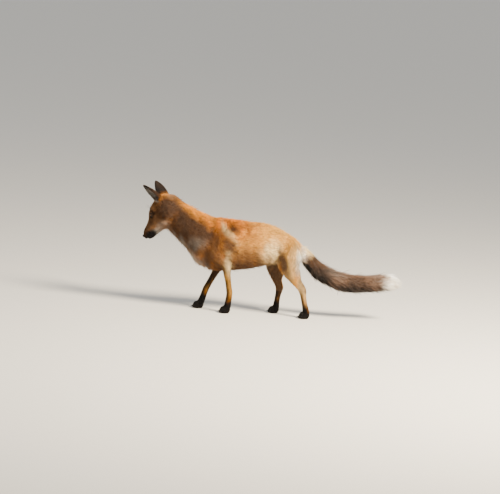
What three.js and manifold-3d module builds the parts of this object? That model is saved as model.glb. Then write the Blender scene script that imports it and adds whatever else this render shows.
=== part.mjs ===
// A red fox, life size, standing with its head lowered and its tail held out behind it.
// Millimetres, +Z up. The fox faces -X and its left side is towards -Y.
// Every flesh solid reaches out to the tips of the coat. The feet stand on flats at z = 0.

import * as THREE from 'three'
import { mergeVertices } from 'three/addons/utils/BufferGeometryUtils.js'
import Module from 'manifold-3d'

const wasm = await Module()
wasm.setup()

// ---------------------------------------------------------------- driving dimensions

const GAP = 0.3 // clearance between neighbouring solids
const REACH = 1200 // of a cutting block, more than the fox is long
const LEFT = -1 // side of the body, as a sign of y
const RIGHT = 1

// Pose of the head: turned away to its right, nose down and leaning a little to its left.
const HEAD_PIVOT = new THREE.Vector3(-386, 0, 403)
const HEAD_YAW = -18
const HEAD_PITCH = -52
const HEAD_ROLL = 2

// Places on the head are in its own frame, given for the left side with y as a distance.
const EYE_RADIUS = 8.5
const EYE_PLACE = { x: -80, y: 26.2, z: 15 }
const NOSE_PLACE = { x: -171, y: 0, z: -13 }
const NOSE_HALF = { x: 8, y: 10.5, z: 8.5 }
const MOUTH_CORNER = { x: -100, z: -38 }
const MOUTH_SLOPE = 8 // degrees that the line of the lips rises forwards

const EAR_HEIGHT = 84
const EAR_HALF_WIDTH = 24
const EAR_HALF_DEPTH = 15
const EAR_SHELL = 4.5 // thickness of the ear with its hair
const EAR_CURL = 6 // how far the tip bends forward
const EAR_ROOT = { x: -16, y: 34, z: 34 }
const EAR_SPLAY = 24 // lean outwards
const EAR_LEAN = 10 // lean backwards
const EAR_TURN = 50 // how far the opening turns outwards from straight ahead

const FORELEG_Y = [22, 38, 38, 39, 40] // sideways place of each joint, from the top down
const HINDLEG_Y = [26, 37, 42, 44]

const PAW_HALF = { length: 22, width: 17 } // the sole's pad with its fur
const PAW_AHEAD = 7 // how far the pad's middle is in front of the root of the toes
const PAW_HEIGHT = 30 // over the root of the toes
const TOES = [ // from a paw's inner edge outwards: how far back its tip is, and how far aside
  { back: 7, side: -12.5 },
  { back: 0, side: -4.4 },
  { back: 0, side: 4.4 },
  { back: 7, side: 12.5 },
]
const TOE_REACH = 31 // from the root of the toes to the tip of the middle ones
const TOE_HALF = { length: 13, width: 6.4, height: 9.5 }
const SOLE_CUT = 2.5 // depth to which the round pads and toes are cut flat by the floor
const CLAW_LENGTH = 15
const CLAW_RADIUS = 2
const CLAW_ROOT = 9 // height of its root over the floor
const CLAW_DROP = 4 // how far its tip is below its root

// Sections of the body. top and low are the ends [x, z] of the section as the side view shows
// it, half is its half width and keel narrows its lower part.
const TRUNK = [
  { top: [-262, 342], low: [-272, 232], half: 30, keel: 0.1 }, // breast, inside the neck
  { top: [-230, 358], low: [-240, 158], half: 54, keel: 0.2 }, // shoulder blades
  { top: [-192, 358], low: [-204, 153], half: 61, keel: 0.25 }, // withers
  { top: [-140, 354], low: [-146, 157], half: 64, keel: 0.2 }, // girth
  { top: [-86, 348], low: [-90, 165], half: 65, keel: 0.1 }, // last ribs
  { top: [-36, 347], low: [-37, 180], half: 61, keel: 0 }, // waist
  { top: [8, 337], low: [14, 195], half: 56, keel: 0 }, // loin
  { top: [50, 318], low: [60, 208], half: 53, keel: 0 }, // croup
  { top: [90, 296], low: [98, 214], half: 46, keel: 0 }, // hips
  { top: [126, 272], low: [127, 230], half: 30, keel: 0 }, // seat
]
const NECK = [
  { top: [-400, 432], low: [-418, 306], half: 44, keel: 0.1 }, // inside the head
  { top: [-374, 430], low: [-386, 290], half: 49, keel: 0.15 }, // behind the ears
  { top: [-332, 403], low: [-346, 254], half: 52, keel: 0.2 }, // upper neck
  { top: [-288, 381], low: [-309, 220], half: 57, keel: 0.2 }, // middle
  { top: [-244, 364], low: [-271, 168], half: 60, keel: 0.2 }, // base
  { top: [-196, 354], low: [-222, 152], half: 55, keel: 0.2 }, // inside the trunk
]
const TAIL = [
  { top: [98, 284], low: [84, 236], half: 22 }, // root, inside the rump
  { top: [129, 269], low: [106, 219], half: 26 },
  { top: [156, 244], low: [130, 192], half: 27 },
  { top: [190, 215], low: [163, 156], half: 29 },
  { top: [238, 192], low: [218, 126], half: 32 },
  { top: [292, 176], low: [286, 106], half: 34 },
  { top: [352, 174], low: [348, 110], half: 33 },
  { top: [412, 180], low: [412, 120], half: 31 },
  { top: [458, 177], low: [462, 128], half: 24 },
  { top: [492, 158], low: [493, 141], half: 8 }, // brush tip
]

// Sections of the head in its own frame: the pivot is the back of the skull, -x is forward.
const HEAD = [
  { top: [-173, -8], low: [-169, -36], half: 12 }, // end of the muzzle
  { top: [-160, 3], low: [-156, -43], half: 17 },
  { top: [-138, 9], low: [-134, -49], half: 20 },
  { top: [-114, 17], low: [-108, -54], half: 25 }, // root of the muzzle
  { top: [-92, 34], low: [-82, -60], half: 35 }, // eyes
  { top: [-68, 45], low: [-56, -72], half: 47, keel: 0.1 }, // brow
  { top: [-36, 49], low: [-28, -83], half: 56, keel: 0.15 }, // cheeks
  { top: [-4, 46], low: [-2, -71], half: 53, keel: 0.2 },
  { top: [22, 34], low: [22, -46], half: 40, keel: 0.2 }, // back of the skull
]

// Thickness of a leg at places along its bones. bone counts the joints from the top.
const FORELEG = [
  { bone: 0.1, front: 26, back: 28, half: 10 },
  { bone: 0.4, front: 36, back: 42, half: 20 }, // shoulder blade
  { bone: 0.8, front: 34, back: 44, half: 25 },
  { bone: 1.15, front: 29, back: 40, half: 24 }, // point of the shoulder
  { bone: 1.6, front: 24, back: 32, half: 20 },
  { bone: 2, front: 20, back: 23, half: 17 }, // elbow
  { bone: 2.35, front: 14, back: 15, half: 14 },
  { bone: 2.7, front: 11.5, back: 12, half: 12 },
  { bone: 3, front: 13, back: 12, half: 13 }, // wrist
  { bone: 3.45, front: 12, back: 13, half: 13 },
  { bone: 4, front: 13, back: 15, half: 15 }, // root of the toes
  { bone: 4.35, front: 9, back: 10, half: 11 }, // inside the paw
]
const HINDLEG = [
  { bone: -0.35, front: 24, back: 22, half: 10 },
  { bone: 0, front: 40, back: 48, half: 20 }, // hip
  { bone: 0.5, front: 42, back: 61, half: 27 },
  { bone: 1, front: 27, back: 60, half: 25 }, // knee
  { bone: 1.4, front: 22, back: 40, half: 19 },
  { bone: 1.72, front: 15, back: 19, half: 14 },
  { bone: 2, front: 13, back: 17, half: 12.5 }, // heel
  { bone: 2.35, front: 11, back: 12, half: 11.5 },
  { bone: 2.7, front: 11, back: 12, half: 12.5 },
  { bone: 3, front: 13, back: 15, half: 15 }, // root of the toes
  { bone: 3.2, front: 9, back: 10, half: 11 }, // inside the paw
]

// Joints of each leg as [x, z] from the top down; the last one is the root of the toes.
const LEG_POSE = {
  leg_fore_left: [[-188, 318], [-226, 232], [-163, 180], [-142, 76], [-149, 20]],
  leg_fore_right: [[-190, 318], [-240, 230], [-186, 176], [-232, 77], [-251, 20]],
  leg_hind_left: [[72, 262], [54, 196], [127, 108], [149, 20]],
  leg_hind_right: [[58, 262], [8, 192], [42, 98], [34, 20]],
}

// Where the thin cuts between the nodes pass: on a leg as a share of the bone above it.
const PASTERN_CUT = 0.35
const BEND_CUT = 0.2
const CUTS = {
  nape: new THREE.Vector3(-377, 0, 360),
  shoulders: new THREE.Vector3(-262, 0, 270),
  dock: new THREE.Vector3(129, 0, 243),
  brush: new THREE.Vector3(200, 0, 170),
  whiteTip: new THREE.Vector3(430, 0, 150),
}

const COLOURS = {
  coat: 0xb9713a,
  neck: 0xb8672c,
  head: 0x8a5433,
  haunch: 0xc99a6a,
  stocking: 0x3a2a22,
  brush: 0x6a4a3c,
  white: 0xe0d8cc,
  ear: 0x2c2420,
  black: 0x141214,
  eye: 0x8a5a18,
  claw: 0x2a2420,
}

// ---------------------------------------------------------------- closed solids

// The volume inside a closed triangle mesh, negative when its faces point inwards.
function signedVolume(points, index) {
  const corner = (k) => new THREE.Vector3().fromArray(points, 3 * index[k])
  let total = 0
  for (let i = 0; i < index.length; i += 3) {
    total += corner(i).dot(corner(i + 1).cross(corner(i + 2))) / 6
  }
  return total
}

// A manifold solid from a closed geometry whose seam vertices are still doubled.
function solidOf(geometry) {
  geometry.deleteAttribute('normal')
  geometry.deleteAttribute('uv')
  const merged = mergeVertices(geometry, 1e-4)
  const vertProperties = Float32Array.from(merged.attributes.position.array)
  const triVerts = Uint32Array.from(merged.index.array)
  if (signedVolume(vertProperties, triVerts) < 0) {
    triVerts.reverse()
  }
  return new wasm.Manifold(new wasm.Mesh({ numProp: 3, vertProperties, triVerts }))
}

function geometryOf(solid) {
  const mesh = solid.getMesh()
  const geometry = new THREE.BufferGeometry()
  const points = Float32Array.from(mesh.vertProperties)
  geometry.setAttribute('position', new THREE.BufferAttribute(points, 3))
  geometry.setIndex(new THREE.BufferAttribute(Uint32Array.from(mesh.triVerts), 1))
  geometry.computeVertexNormals()
  return geometry
}

// The biggest of the pieces that a cut leaves.
function mainPiece(solid) {
  const pieces = solid.decompose()
  pieces.sort((a, b) => b.volume() - a.volume())
  return pieces[0]
}

function joined(solids) {
  return solids.reduce((whole, solid) => whole.add(solid))
}

function ellipsoid(centre, half, { sides = 12, rings = 8, matrix = null } = {}) {
  const geometry = new THREE.SphereGeometry(1, sides, rings)
  geometry.scale(half.x, half.y, half.z)
  geometry.translate(centre.x, centre.y, centre.z)
  if (matrix) {
    geometry.applyMatrix4(matrix)
  }
  return solidOf(geometry)
}

// A block between two corners, placed by a matrix.
function block(low, high, matrix) {
  const size = new THREE.Vector3().subVectors(high, low)
  const geometry = new THREE.BoxGeometry(size.x, size.y, size.z)
  const centre = new THREE.Vector3().addVectors(low, high).multiplyScalar(0.5)
  geometry.translate(centre.x, centre.y, centre.z)
  geometry.applyMatrix4(matrix)
  return solidOf(geometry)
}

// A smooth closed loft: a sphere whose rings are moved on to sections. Each section has a
// centre, a half-depth vector rise, a half width across it and a keel that narrows it below.
// blunt is how square its ends are, and grow makes it thicker and longer all round.
function loft(sections, { sides = 16, rings = 16, blunt = 7, grow = 0, matrix = null } = {}) {
  const smooth = (points) => new THREE.CatmullRomCurve3(points, false, 'catmullrom', 0.5)
  const centres = smooth(sections.map((s) => s.centre))
  const rises = smooth(sections.map((s) => s.rise))
  const sizes = smooth(sections.map((s) => new THREE.Vector3(s.half, s.keel ?? 0, 0)))
  const geometry = new THREE.SphereGeometry(1, sides, rings)
  const vertices = geometry.attributes.position
  const point = new THREE.Vector3()
  for (let i = 0; i < vertices.count; i += 1) {
    point.fromBufferAttribute(vertices, i)
    const along = Math.acos(THREE.MathUtils.clamp(point.y, -1, 1)) / Math.PI
    const fromMiddle = Math.min(1, Math.abs(2 * along - 1))
    const roundEnd = Math.pow(1 - Math.pow(fromMiddle, blunt), 1 / blunt)
    const turn = Math.atan2(point.z, point.x)
    const rise = rises.getPoint(along)
    const size = sizes.getPoint(along)
    const narrowing = 1 - size.y * Math.max(0, -Math.sin(turn))
    const depth = (rise.length() + grow) * roundEnd * Math.sin(turn)
    const across = (size.x + grow) * roundEnd * narrowing * Math.cos(turn)
    const place = centres.getPoint(along).addScaledVector(rise.normalize(), depth)
    place.addScaledVector(centres.getTangent(along), grow * (2 * along - 1))
    vertices.setXYZ(i, place.x, place.y + across, place.z)
  }
  if (matrix) {
    geometry.applyMatrix4(matrix)
  }
  return solidOf(geometry)
}

// Sections for loft from the two ends that the side view shows.
function fromOutline(table) {
  return table.map(({ top, low, half, keel }) => ({
    centre: new THREE.Vector3((top[0] + low[0]) / 2, 0, (top[1] + low[1]) / 2),
    rise: new THREE.Vector3((top[0] - low[0]) / 2, 0, (top[1] - low[1]) / 2),
    half,
    keel,
  }))
}

// ---------------------------------------------------------------- head

const radians = THREE.MathUtils.degToRad
const headTurn = new THREE.Euler(radians(HEAD_ROLL), radians(HEAD_PITCH), radians(HEAD_YAW), 'ZYX')
const headMatrix = new THREE.Matrix4().makeRotationFromEuler(headTurn).setPosition(HEAD_PIVOT)

function headLoft(grow) {
  return loft(fromOutline(HEAD), { sides: 20, rings: 16, blunt: 5, grow, matrix: headMatrix })
}

function eye(side, grow = 0) {
  const centre = new THREE.Vector3(EYE_PLACE.x, side * EYE_PLACE.y, EYE_PLACE.z)
  const radius = EYE_RADIUS + grow
  const half = new THREE.Vector3(radius, radius, radius)
  return ellipsoid(centre, half, { sides: 10, rings: 7, matrix: headMatrix })
}

function nose(grow = 0) {
  const centre = new THREE.Vector3().copy(NOSE_PLACE)
  const half = new THREE.Vector3().copy(NOSE_HALF).addScalar(grow)
  return ellipsoid(centre, half, { sides: 10, rings: 7, matrix: headMatrix })
}

// The part of the head in front of the mouth's corner and below the line of the lips.
function jawSpace(grow) {
  const corner = new THREE.Vector3(MOUTH_CORNER.x, 0, MOUTH_CORNER.z)
  const lips = new THREE.Matrix4().makeRotationY(radians(MOUTH_SLOPE)).setPosition(corner)
  const low = new THREE.Vector3(-REACH, -REACH, -REACH)
  const high = new THREE.Vector3(grow, REACH, grow)
  return block(low, high, new THREE.Matrix4().multiplyMatrices(headMatrix, lips))
}

// An ear in its own frame: its root at the origin, its tip up and its opening towards -x.
// Each section is a height, a width and a depth as shares of the whole ear's.
const EAR_SHAPE = [
  { up: -0.2, width: 0.72, depth: 0.95 },
  { up: 0, width: 0.9, depth: 1 },
  { up: 0.2, width: 1, depth: 1 },
  { up: 0.45, width: 0.88, depth: 0.78 },
  { up: 0.7, width: 0.6, depth: 0.5 },
  { up: 0.88, width: 0.32, depth: 0.32 },
  { up: 1, width: 0.08, depth: 0.16 },
]

function earSections(shape, height, wide, deep, shift) {
  return shape.map(({ up, width, depth }) => ({
    centre: new THREE.Vector3(shift * depth - EAR_CURL * up * up, 0, up * height),
    rise: new THREE.Vector3(deep * depth, 0, 0),
    half: wide * width,
  }))
}

function earMatrix(side) {
  const place = new THREE.Matrix4().makeTranslation(EAR_ROOT.x, side * EAR_ROOT.y, EAR_ROOT.z)
  const lean = new THREE.Matrix4().makeRotationY(radians(EAR_LEAN))
  const splay = new THREE.Matrix4().makeRotationX(radians(-side * EAR_SPLAY))
  const turn = new THREE.Matrix4().makeRotationZ(radians(-side * EAR_TURN))
  return new THREE.Matrix4().multiply(headMatrix).multiply(place).multiply(lean)
    .multiply(splay).multiply(turn)
}

function earOuter(side, grow = 0) {
  const sections = earSections(EAR_SHAPE, EAR_HEIGHT, EAR_HALF_WIDTH, EAR_HALF_DEPTH, 0)
  return loft(sections, { sides: 12, rings: 9, blunt: 9, grow, matrix: earMatrix(side) })
}

function ear(side) {
  const wide = EAR_HALF_WIDTH - EAR_SHELL
  const deep = (3 * EAR_HALF_DEPTH - EAR_SHELL) / 2
  const shift = -(EAR_HALF_DEPTH + EAR_SHELL) / 2
  const aboveRoot = EAR_SHAPE.slice(1)
  const sections = earSections(aboveRoot, EAR_HEIGHT - EAR_SHELL, wide, deep, shift)
  const hollow = loft(sections, { sides: 10, rings: 8, blunt: 5, matrix: earMatrix(side) })
  return mainPiece(earOuter(side).subtract(hollow))
}

// ---------------------------------------------------------------- legs

// The place on a chain of joints after a number of bones, carried on past both ends.
function placeOnBones(joints, bone) {
  const first = Math.min(Math.max(Math.floor(bone), 0), joints.length - 2)
  return new THREE.Vector3().lerpVectors(joints[first], joints[first + 1], bone - first)
}

// The direction of the bone that a place lies on, from the top of the leg down.
function runOfBone(joints, bone) {
  const first = Math.floor(bone)
  return new THREE.Vector3().subVectors(joints[first + 1], joints[first])
}

function legSections(joints, thickness) {
  const spread = 0.3 // of a bone, over which a joint turns the sections
  return thickness.map(({ bone, front, back, half }) => {
    const above = placeOnBones(joints, bone - spread)
    const run = placeOnBones(joints, bone + spread).sub(above)
    const forward = new THREE.Vector3(run.z, 0, -run.x).normalize()
    const centre = placeOnBones(joints, bone).addScaledVector(forward, (front - back) / 2)
    return { centre, rise: forward.multiplyScalar((front + back) / 2), half }
  })
}

function legJoints(name, side) {
  const places = name.includes('fore') ? FORELEG_Y : HINDLEG_Y
  return LEG_POSE[name].map(([x, z], i) => new THREE.Vector3(x, side * places[i], z))
}

function legLoft(name, side, grow) {
  const thickness = name.includes('fore') ? FORELEG : HINDLEG
  const sections = legSections(legJoints(name, side), thickness)
  return loft(sections, { sides: 10, rings: 18, blunt: 7, grow })
}

function toePlaces(name, side) {
  const root = legJoints(name, side).at(-1)
  return TOES.map((toe) => {
    const x = root.x - TOE_REACH + toe.back
    return new THREE.Vector3(x, root.y + side * toe.side, 0)
  })
}

function paw(name, side) {
  const root = legJoints(name, side).at(-1)
  const centre = new THREE.Vector3(root.x - PAW_AHEAD, root.y, PAW_HEIGHT / 2 - SOLE_CUT)
  const half = new THREE.Vector3(PAW_HALF.length, PAW_HALF.width, PAW_HEIGHT / 2 + SOLE_CUT)
  const pads = [ellipsoid(centre, half, { sides: 8, rings: 6 })]
  for (const tip of toePlaces(name, side)) {
    const middle = new THREE.Vector3(tip.x + TOE_HALF.length, tip.y, TOE_HALF.height - SOLE_CUT)
    const size = new THREE.Vector3(TOE_HALF.length, TOE_HALF.width, TOE_HALF.height)
    pads.push(ellipsoid(middle, size, { sides: 8, rings: 4 }))
  }
  return joined(pads)
}

// A claw that starts inside the toe and bends down in front of it.
function claw(tip, grow = 0) {
  const at = (along) => ({
    centre: new THREE.Vector3(
      tip.x + CLAW_LENGTH * (0.5 - along),
      tip.y,
      CLAW_ROOT - CLAW_DROP * along * along,
    ),
    rise: new THREE.Vector3(0, 0, CLAW_RADIUS * (1 - 0.8 * along)),
    half: CLAW_RADIUS * (0.8 - 0.6 * along),
  })
  const sections = [at(0), at(0.4), at(1)]
  return loft(sections, { sides: 4, rings: 3, blunt: 4, grow })
}

// ---------------------------------------------------------------- cuts

// Everything on the far side of a point, seen along a direction in the side view.
function beyond(point, direction, offset) {
  const angle = Math.atan2(direction.z, direction.x)
  const matrix = new THREE.Matrix4().makeRotationY(-angle).setPosition(point)
  const low = new THREE.Vector3(offset, -REACH, -REACH)
  return block(low, new THREE.Vector3(REACH, REACH, REACH), matrix)
}

// Cuts a solid in two at a point, across a direction, and leaves a gap.
function cutAcross(solid, point, direction) {
  const near = mainPiece(solid.subtract(beyond(point, direction, -GAP / 2)))
  const far = mainPiece(solid.intersect(beyond(point, direction, GAP / 2)))
  return [near, far]
}

// ---------------------------------------------------------------- assembly

const fox = new THREE.Group()

function addNode(name, solid, colour, roughness = 0.9) {
  const material = new THREE.MeshStandardMaterial({ color: colour, roughness, metalness: 0 })
  const mesh = new THREE.Mesh(geometryOf(solid), material)
  mesh.name = name
  fox.add(mesh)
}

const underFloor = block(
  new THREE.Vector3(-REACH, -REACH, -REACH),
  new THREE.Vector3(REACH, REACH, 0),
  new THREE.Matrix4(),
)
const sides = [['left', LEFT], ['right', RIGHT]]
const legSpaces = []

for (const [word, side] of sides) {
  for (const kind of ['fore', 'hind']) {
    const name = `leg_${kind}_${word}`
    const joints = legJoints(name, side)
    const claws = toePlaces(name, side).map((tip) => claw(tip))
    const clawSpace = joined(toePlaces(name, side).map((tip) => claw(tip, GAP)))
    const whole = legLoft(name, side, 0).add(paw(name, side)).subtract(underFloor)
    const pastern = joints.length - 2 + PASTERN_CUT
    const bend = joints.length - 3 + BEND_CUT
    const [limb, foot] = cutAcross(whole, placeOnBones(joints, pastern), runOfBone(joints, pastern))
    const [upper, lower] = cutAcross(limb, placeOnBones(joints, bend), runOfBone(joints, bend))
    addNode(`${name}_upper`, upper, kind === 'fore' ? COLOURS.coat : COLOURS.haunch)
    addNode(`${name}_lower`, lower, COLOURS.coat)
    addNode(`${name}_paw`, mainPiece(foot.subtract(clawSpace)), COLOURS.stocking)
    claws.forEach((solid, i) => addNode(`claw_${kind}_${word}_${i + 1}`, solid, COLOURS.claw, 0.4))
    legSpaces.push(legLoft(name, side, GAP))
  }
}

// The head, neck, trunk and tail are one body, which thin cuts part into nodes.
const backwards = (drop) => new THREE.Vector3(1, 0, -drop)
const body = joined([
  headLoft(0),
  loft(fromOutline(NECK), { sides: 18, rings: 11, blunt: 7 }),
  loft(fromOutline(TRUNK), { sides: 20, rings: 15, blunt: 6 }),
  loft(fromOutline(TAIL), { sides: 14, rings: 16, blunt: 9 }),
]).subtract(joined(legSpaces))
const [beforeNape, afterNape] = cutAcross(body, CUTS.nape, backwards(-0.05))
const [neck, afterNeck] = cutAcross(afterNape, CUTS.shoulders, backwards(0.1))
const [trunk, tail] = cutAcross(afterNeck, CUTS.dock, backwards(0.4))
const [tailBase, afterBase] = cutAcross(tail, CUTS.brush, backwards(0.7))
const [brush, brushTip] = cutAcross(afterBase, CUTS.whiteTip, backwards(0))
addNode('neck', neck, COLOURS.neck)
addNode('trunk', trunk, COLOURS.coat)
addNode('tail_base', tailBase, COLOURS.haunch)
addNode('tail_brush', brush, COLOURS.brush)
addNode('tail_tip', brushTip, COLOURS.white)

let head = beforeNape.subtract(nose(GAP))
for (const [word, side] of sides) {
  addNode(`ear_${word}`, ear(side), COLOURS.ear)
  addNode(`eye_${word}`, eye(side), COLOURS.eye, 0.1)
  head = head.subtract(eye(side, GAP)).subtract(earOuter(side, GAP))
}
addNode('nose', nose(), COLOURS.black, 0.4)
addNode('jaw', mainPiece(head.intersect(jawSpace(-GAP))), COLOURS.white)
addNode('head', mainPiece(head.subtract(jawSpace(0))), COLOURS.head)

// The origin is under the middle of the whole fox, on the floor.
const bounds = new THREE.Box3().setFromObject(fox, true)
const middle = bounds.getCenter(new THREE.Vector3())
fox.position.set(-middle.x, -middle.y, 0)

export default fox
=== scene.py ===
"""Looks of a life-size red fox that stands with its head lowered and its brush held out.

Metres, +Z up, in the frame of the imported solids. The fox faces -X, its left side is towards -Y.
Sizes are written in millimetres of the drawing frame, whose spine lies in the plane y = 0.
"""

import math

import bmesh
import bpy
import numpy as np
from mathutils import Euler, Matrix, Vector
from mathutils.bvhtree import BVHTree


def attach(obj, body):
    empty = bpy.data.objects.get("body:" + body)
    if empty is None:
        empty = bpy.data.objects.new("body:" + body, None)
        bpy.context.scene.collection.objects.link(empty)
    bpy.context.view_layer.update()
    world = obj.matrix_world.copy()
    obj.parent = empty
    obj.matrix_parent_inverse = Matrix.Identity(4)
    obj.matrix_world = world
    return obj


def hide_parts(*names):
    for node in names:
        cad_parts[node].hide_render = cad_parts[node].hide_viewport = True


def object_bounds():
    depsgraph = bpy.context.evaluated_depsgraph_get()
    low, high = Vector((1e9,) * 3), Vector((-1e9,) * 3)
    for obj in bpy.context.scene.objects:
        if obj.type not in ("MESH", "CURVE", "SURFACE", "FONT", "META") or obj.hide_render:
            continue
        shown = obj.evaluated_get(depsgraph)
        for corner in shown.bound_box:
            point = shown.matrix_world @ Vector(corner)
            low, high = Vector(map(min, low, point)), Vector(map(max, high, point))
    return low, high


bl_info = {
    "name": "Red fox",
    "version": (1, 0, 0),
    "blender": (4, 5, 0),
    "location": "3D View > Sidebar > Fox",
    "description": "Builds the skin, coat, eyes, nose, claws and whiskers of a red fox",
    "category": "Object",
}

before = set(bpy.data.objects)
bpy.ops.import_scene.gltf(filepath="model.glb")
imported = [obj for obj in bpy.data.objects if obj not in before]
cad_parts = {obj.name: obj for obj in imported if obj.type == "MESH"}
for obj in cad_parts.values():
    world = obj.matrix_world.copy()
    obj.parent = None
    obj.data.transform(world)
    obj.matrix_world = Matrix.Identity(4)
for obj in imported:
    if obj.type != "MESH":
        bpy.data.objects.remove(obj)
CAD_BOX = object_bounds()

# ---------------------------------------------------------------- places

MM = 0.001
ORIGIN = np.array((0.15, -14.2, 0.0))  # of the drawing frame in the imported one
LEFT, RIGHT = -1, 1
SIDES = (("left", LEFT), ("right", RIGHT))


def drawn(x, y, z):
    """A place in the drawing frame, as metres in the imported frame."""
    return Vector((x + ORIGIN[0], y + ORIGIN[1], z + ORIGIN[2])) * MM


def turned(x, y, z):
    """A turn of x, then y, then z degrees about the fixed axes."""
    return Euler((math.radians(x), math.radians(y), math.radians(z)), "XYZ").to_matrix().to_4x4()


HEAD = Matrix.Translation(drawn(-386, 0, 403)) @ turned(2, -52, -18)
EYE_RADIUS = 8.5
EYE_PLACE = (-80, 26.2, 15)
EYE_GAZE = (-0.76, 0.62, 0.2)  # where an eye looks, in the head's frame
EYE_TILT = 24  # degrees that the outer corner is above the inner one
EYE_HALF = (8.0, 5.6)  # of the opening between the lids
LID = 0.9
PUPIL = (-0.4, 1.3, 0)  # its middle, off the middle of the opening
NOSE_PLACE = (-171, 0, -13)
NOSE_HALF = (8, 10.5, 8.5)  # half sizes of the pad
NOSE_BARE = (9.6, 11.6, 9.6)  # half sizes of the place without hair round it
NOSE_COLLAR = ((-166.5, 0, -16), (10, 12.5, 12.5))  # middle and half sizes of the hide behind it
MOUTH_CORNER = (-104, -38)
LIP_SLOPE = 8  # degrees that the line of the lips rises forwards
LIP_SAG, LIP_RUN = 2.2, 60  # how far the lips hang in the middle, and how long they are
EAR_ROOT = (-16, 34, 34)
EAR_LEAN, EAR_SPREAD, EAR_TURN = 10, 24, 50  # degrees back, to the side and outwards
SOLE = 0.2 * MM  # how far the hide and the lowest locks stay above the floor


def on_head(x, y, z):
    """A place in the head's frame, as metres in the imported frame."""
    return HEAD @ (Vector((x, y, z)) * MM)


def ear_frame(side):
    """The frame of an ear, in metres: z runs up to its tip, -x out of its opening."""
    root = Matrix.Translation(Vector((EAR_ROOT[0], side * EAR_ROOT[1], EAR_ROOT[2])) * MM)
    upright = HEAD @ root @ turned(0, EAR_LEAN, 0)
    return upright @ turned(-side * EAR_SPREAD, 0, 0) @ turned(0, 0, -side * EAR_TURN)


EARS = {LEFT: ear_frame(LEFT), RIGHT: ear_frame(RIGHT)}


def eye_frame(side):
    """The frame of an eye in millimetres: x runs to the outer corner, y up, z along the gaze."""
    turn = HEAD.to_3x3()
    gaze = (turn @ Vector((EYE_GAZE[0], side * EYE_GAZE[1], EYE_GAZE[2]))).normalized()
    up = turn @ Vector((0, 0, 1))
    out = up.cross(gaze).normalized() * side
    if out.dot(turn @ Vector((0, side, 0))) < 0:
        out = -out
    level = gaze.cross(out).normalized()
    if level.dot(up) < 0:
        level = -level
    tilt = math.radians(EYE_TILT)
    along = out * math.cos(tilt) + level * math.sin(tilt)
    across = level * math.cos(tilt) - out * math.sin(tilt)
    axes = Matrix((along, across, gaze)).transposed().to_4x4()
    centre = on_head(EYE_PLACE[0], side * EYE_PLACE[1], EYE_PLACE[2])
    return Matrix.Translation(centre) @ axes @ Matrix.Scale(MM, 4)


EYES = {LEFT: eye_frame(LEFT), RIGHT: eye_frame(RIGHT)}


def placed(matrix, points):
    """Points moved by a matrix."""
    turn = np.array(matrix)
    return points @ turn[:3, :3].T + turn[:3, 3]


def local(matrix, points):
    """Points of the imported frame, seen from another one."""
    return placed(matrix.inverted(), points)


def in_head(points):
    """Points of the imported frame, as millimetres in the head's frame."""
    return local(HEAD, points) / MM


def lengths(vectors):
    return np.linalg.norm(vectors, axis=1)


def unit(vectors):
    """The same directions, of length 1."""
    return vectors / (lengths(vectors)[:, None] + 1e-12)


def smooth(value, low, high):
    """0 below low and 1 above high, with a soft step between them."""
    x = np.clip((value - low) / (high - low), 0, 1)
    return x * x * (3 - 2 * x)


def bell(value, width):
    """1 where the value is 0, and next to nothing past twice the width."""
    return np.exp(-((value / width) ** 2))


# ---------------------------------------------------------------- lines that the coat follows

# Of each leg: how far its joints are from the spine's plane, and their places in the side view.
LEG_Y = {"fore": (22, 38, 38, 39, 40), "hind": (26, 37, 42, 44)}
LEGS = {
    ("fore", LEFT): ((-188, 318), (-226, 232), (-163, 180), (-142, 76), (-149, 20)),
    ("fore", RIGHT): ((-190, 318), (-240, 230), (-186, 176), (-232, 77), (-251, 20)),
    ("hind", LEFT): ((72, 262), (54, 196), (127, 108), (149, 20)),
    ("hind", RIGHT): ((58, 262), (8, 192), (42, 98), (34, 20)),
}
GROUPS = ("head", "ears", "neck", "trunk", "haunch", "legs", "tail")

# The main run of the hair in each group, along which its pattern of clumps is drawn out.
GRAIN = {
    "head": (0.6, 0, 0.8), "ears": (0, 0, 1), "neck": (0.35, 0, -0.94), "trunk": (1, 0, 0),
    "haunch": (0.45, 0, -0.89), "legs": (0, 0, 1), "tail": (0.97, 0, -0.24),
}

# Of one line: its group, two ends in metres, then at each end how far it reaches, the depth of
# the coat, the length and width of a lock (mm), and the locks in a square centimetre.
LINES = []
GRIP = 7  # how sharply the nearest line takes over from the others


def chain(group, places, values):
    """A row of lines from place to place, with one set of values at each place."""
    for i in range(len(places) - 1):
        LINES.append((GROUPS.index(group), places[i], places[i + 1], values[i], values[i + 1]))


def on_spine(*places):
    """Places in the plane of the spine, from their x and z."""
    return [drawn(x, 0, z) for x, z in places]


LEG_COAT = {
    "fore": (((42, 9, 26, 1.8, 26), (38, 8, 24, 1.7, 28), (27, 4, 16, 1.3, 45)),
             ((22, 3.5, 14, 1.2, 60), (14, 1.6, 8, 0.9, 110), (16, 1.4, 6, 0.8, 140),
              (18, 0.8, 4, 0.7, 190))),
    "hind": (((56, 9, 30, 1.9, 25), (44, 7, 25, 1.7, 28), (17, 2.5, 12, 1.1, 60)),
             ((15, 2.0, 9, 0.9, 100), (15, 1.4, 6, 0.8, 140), (18, 0.8, 4, 0.7, 190))),
}


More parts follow.
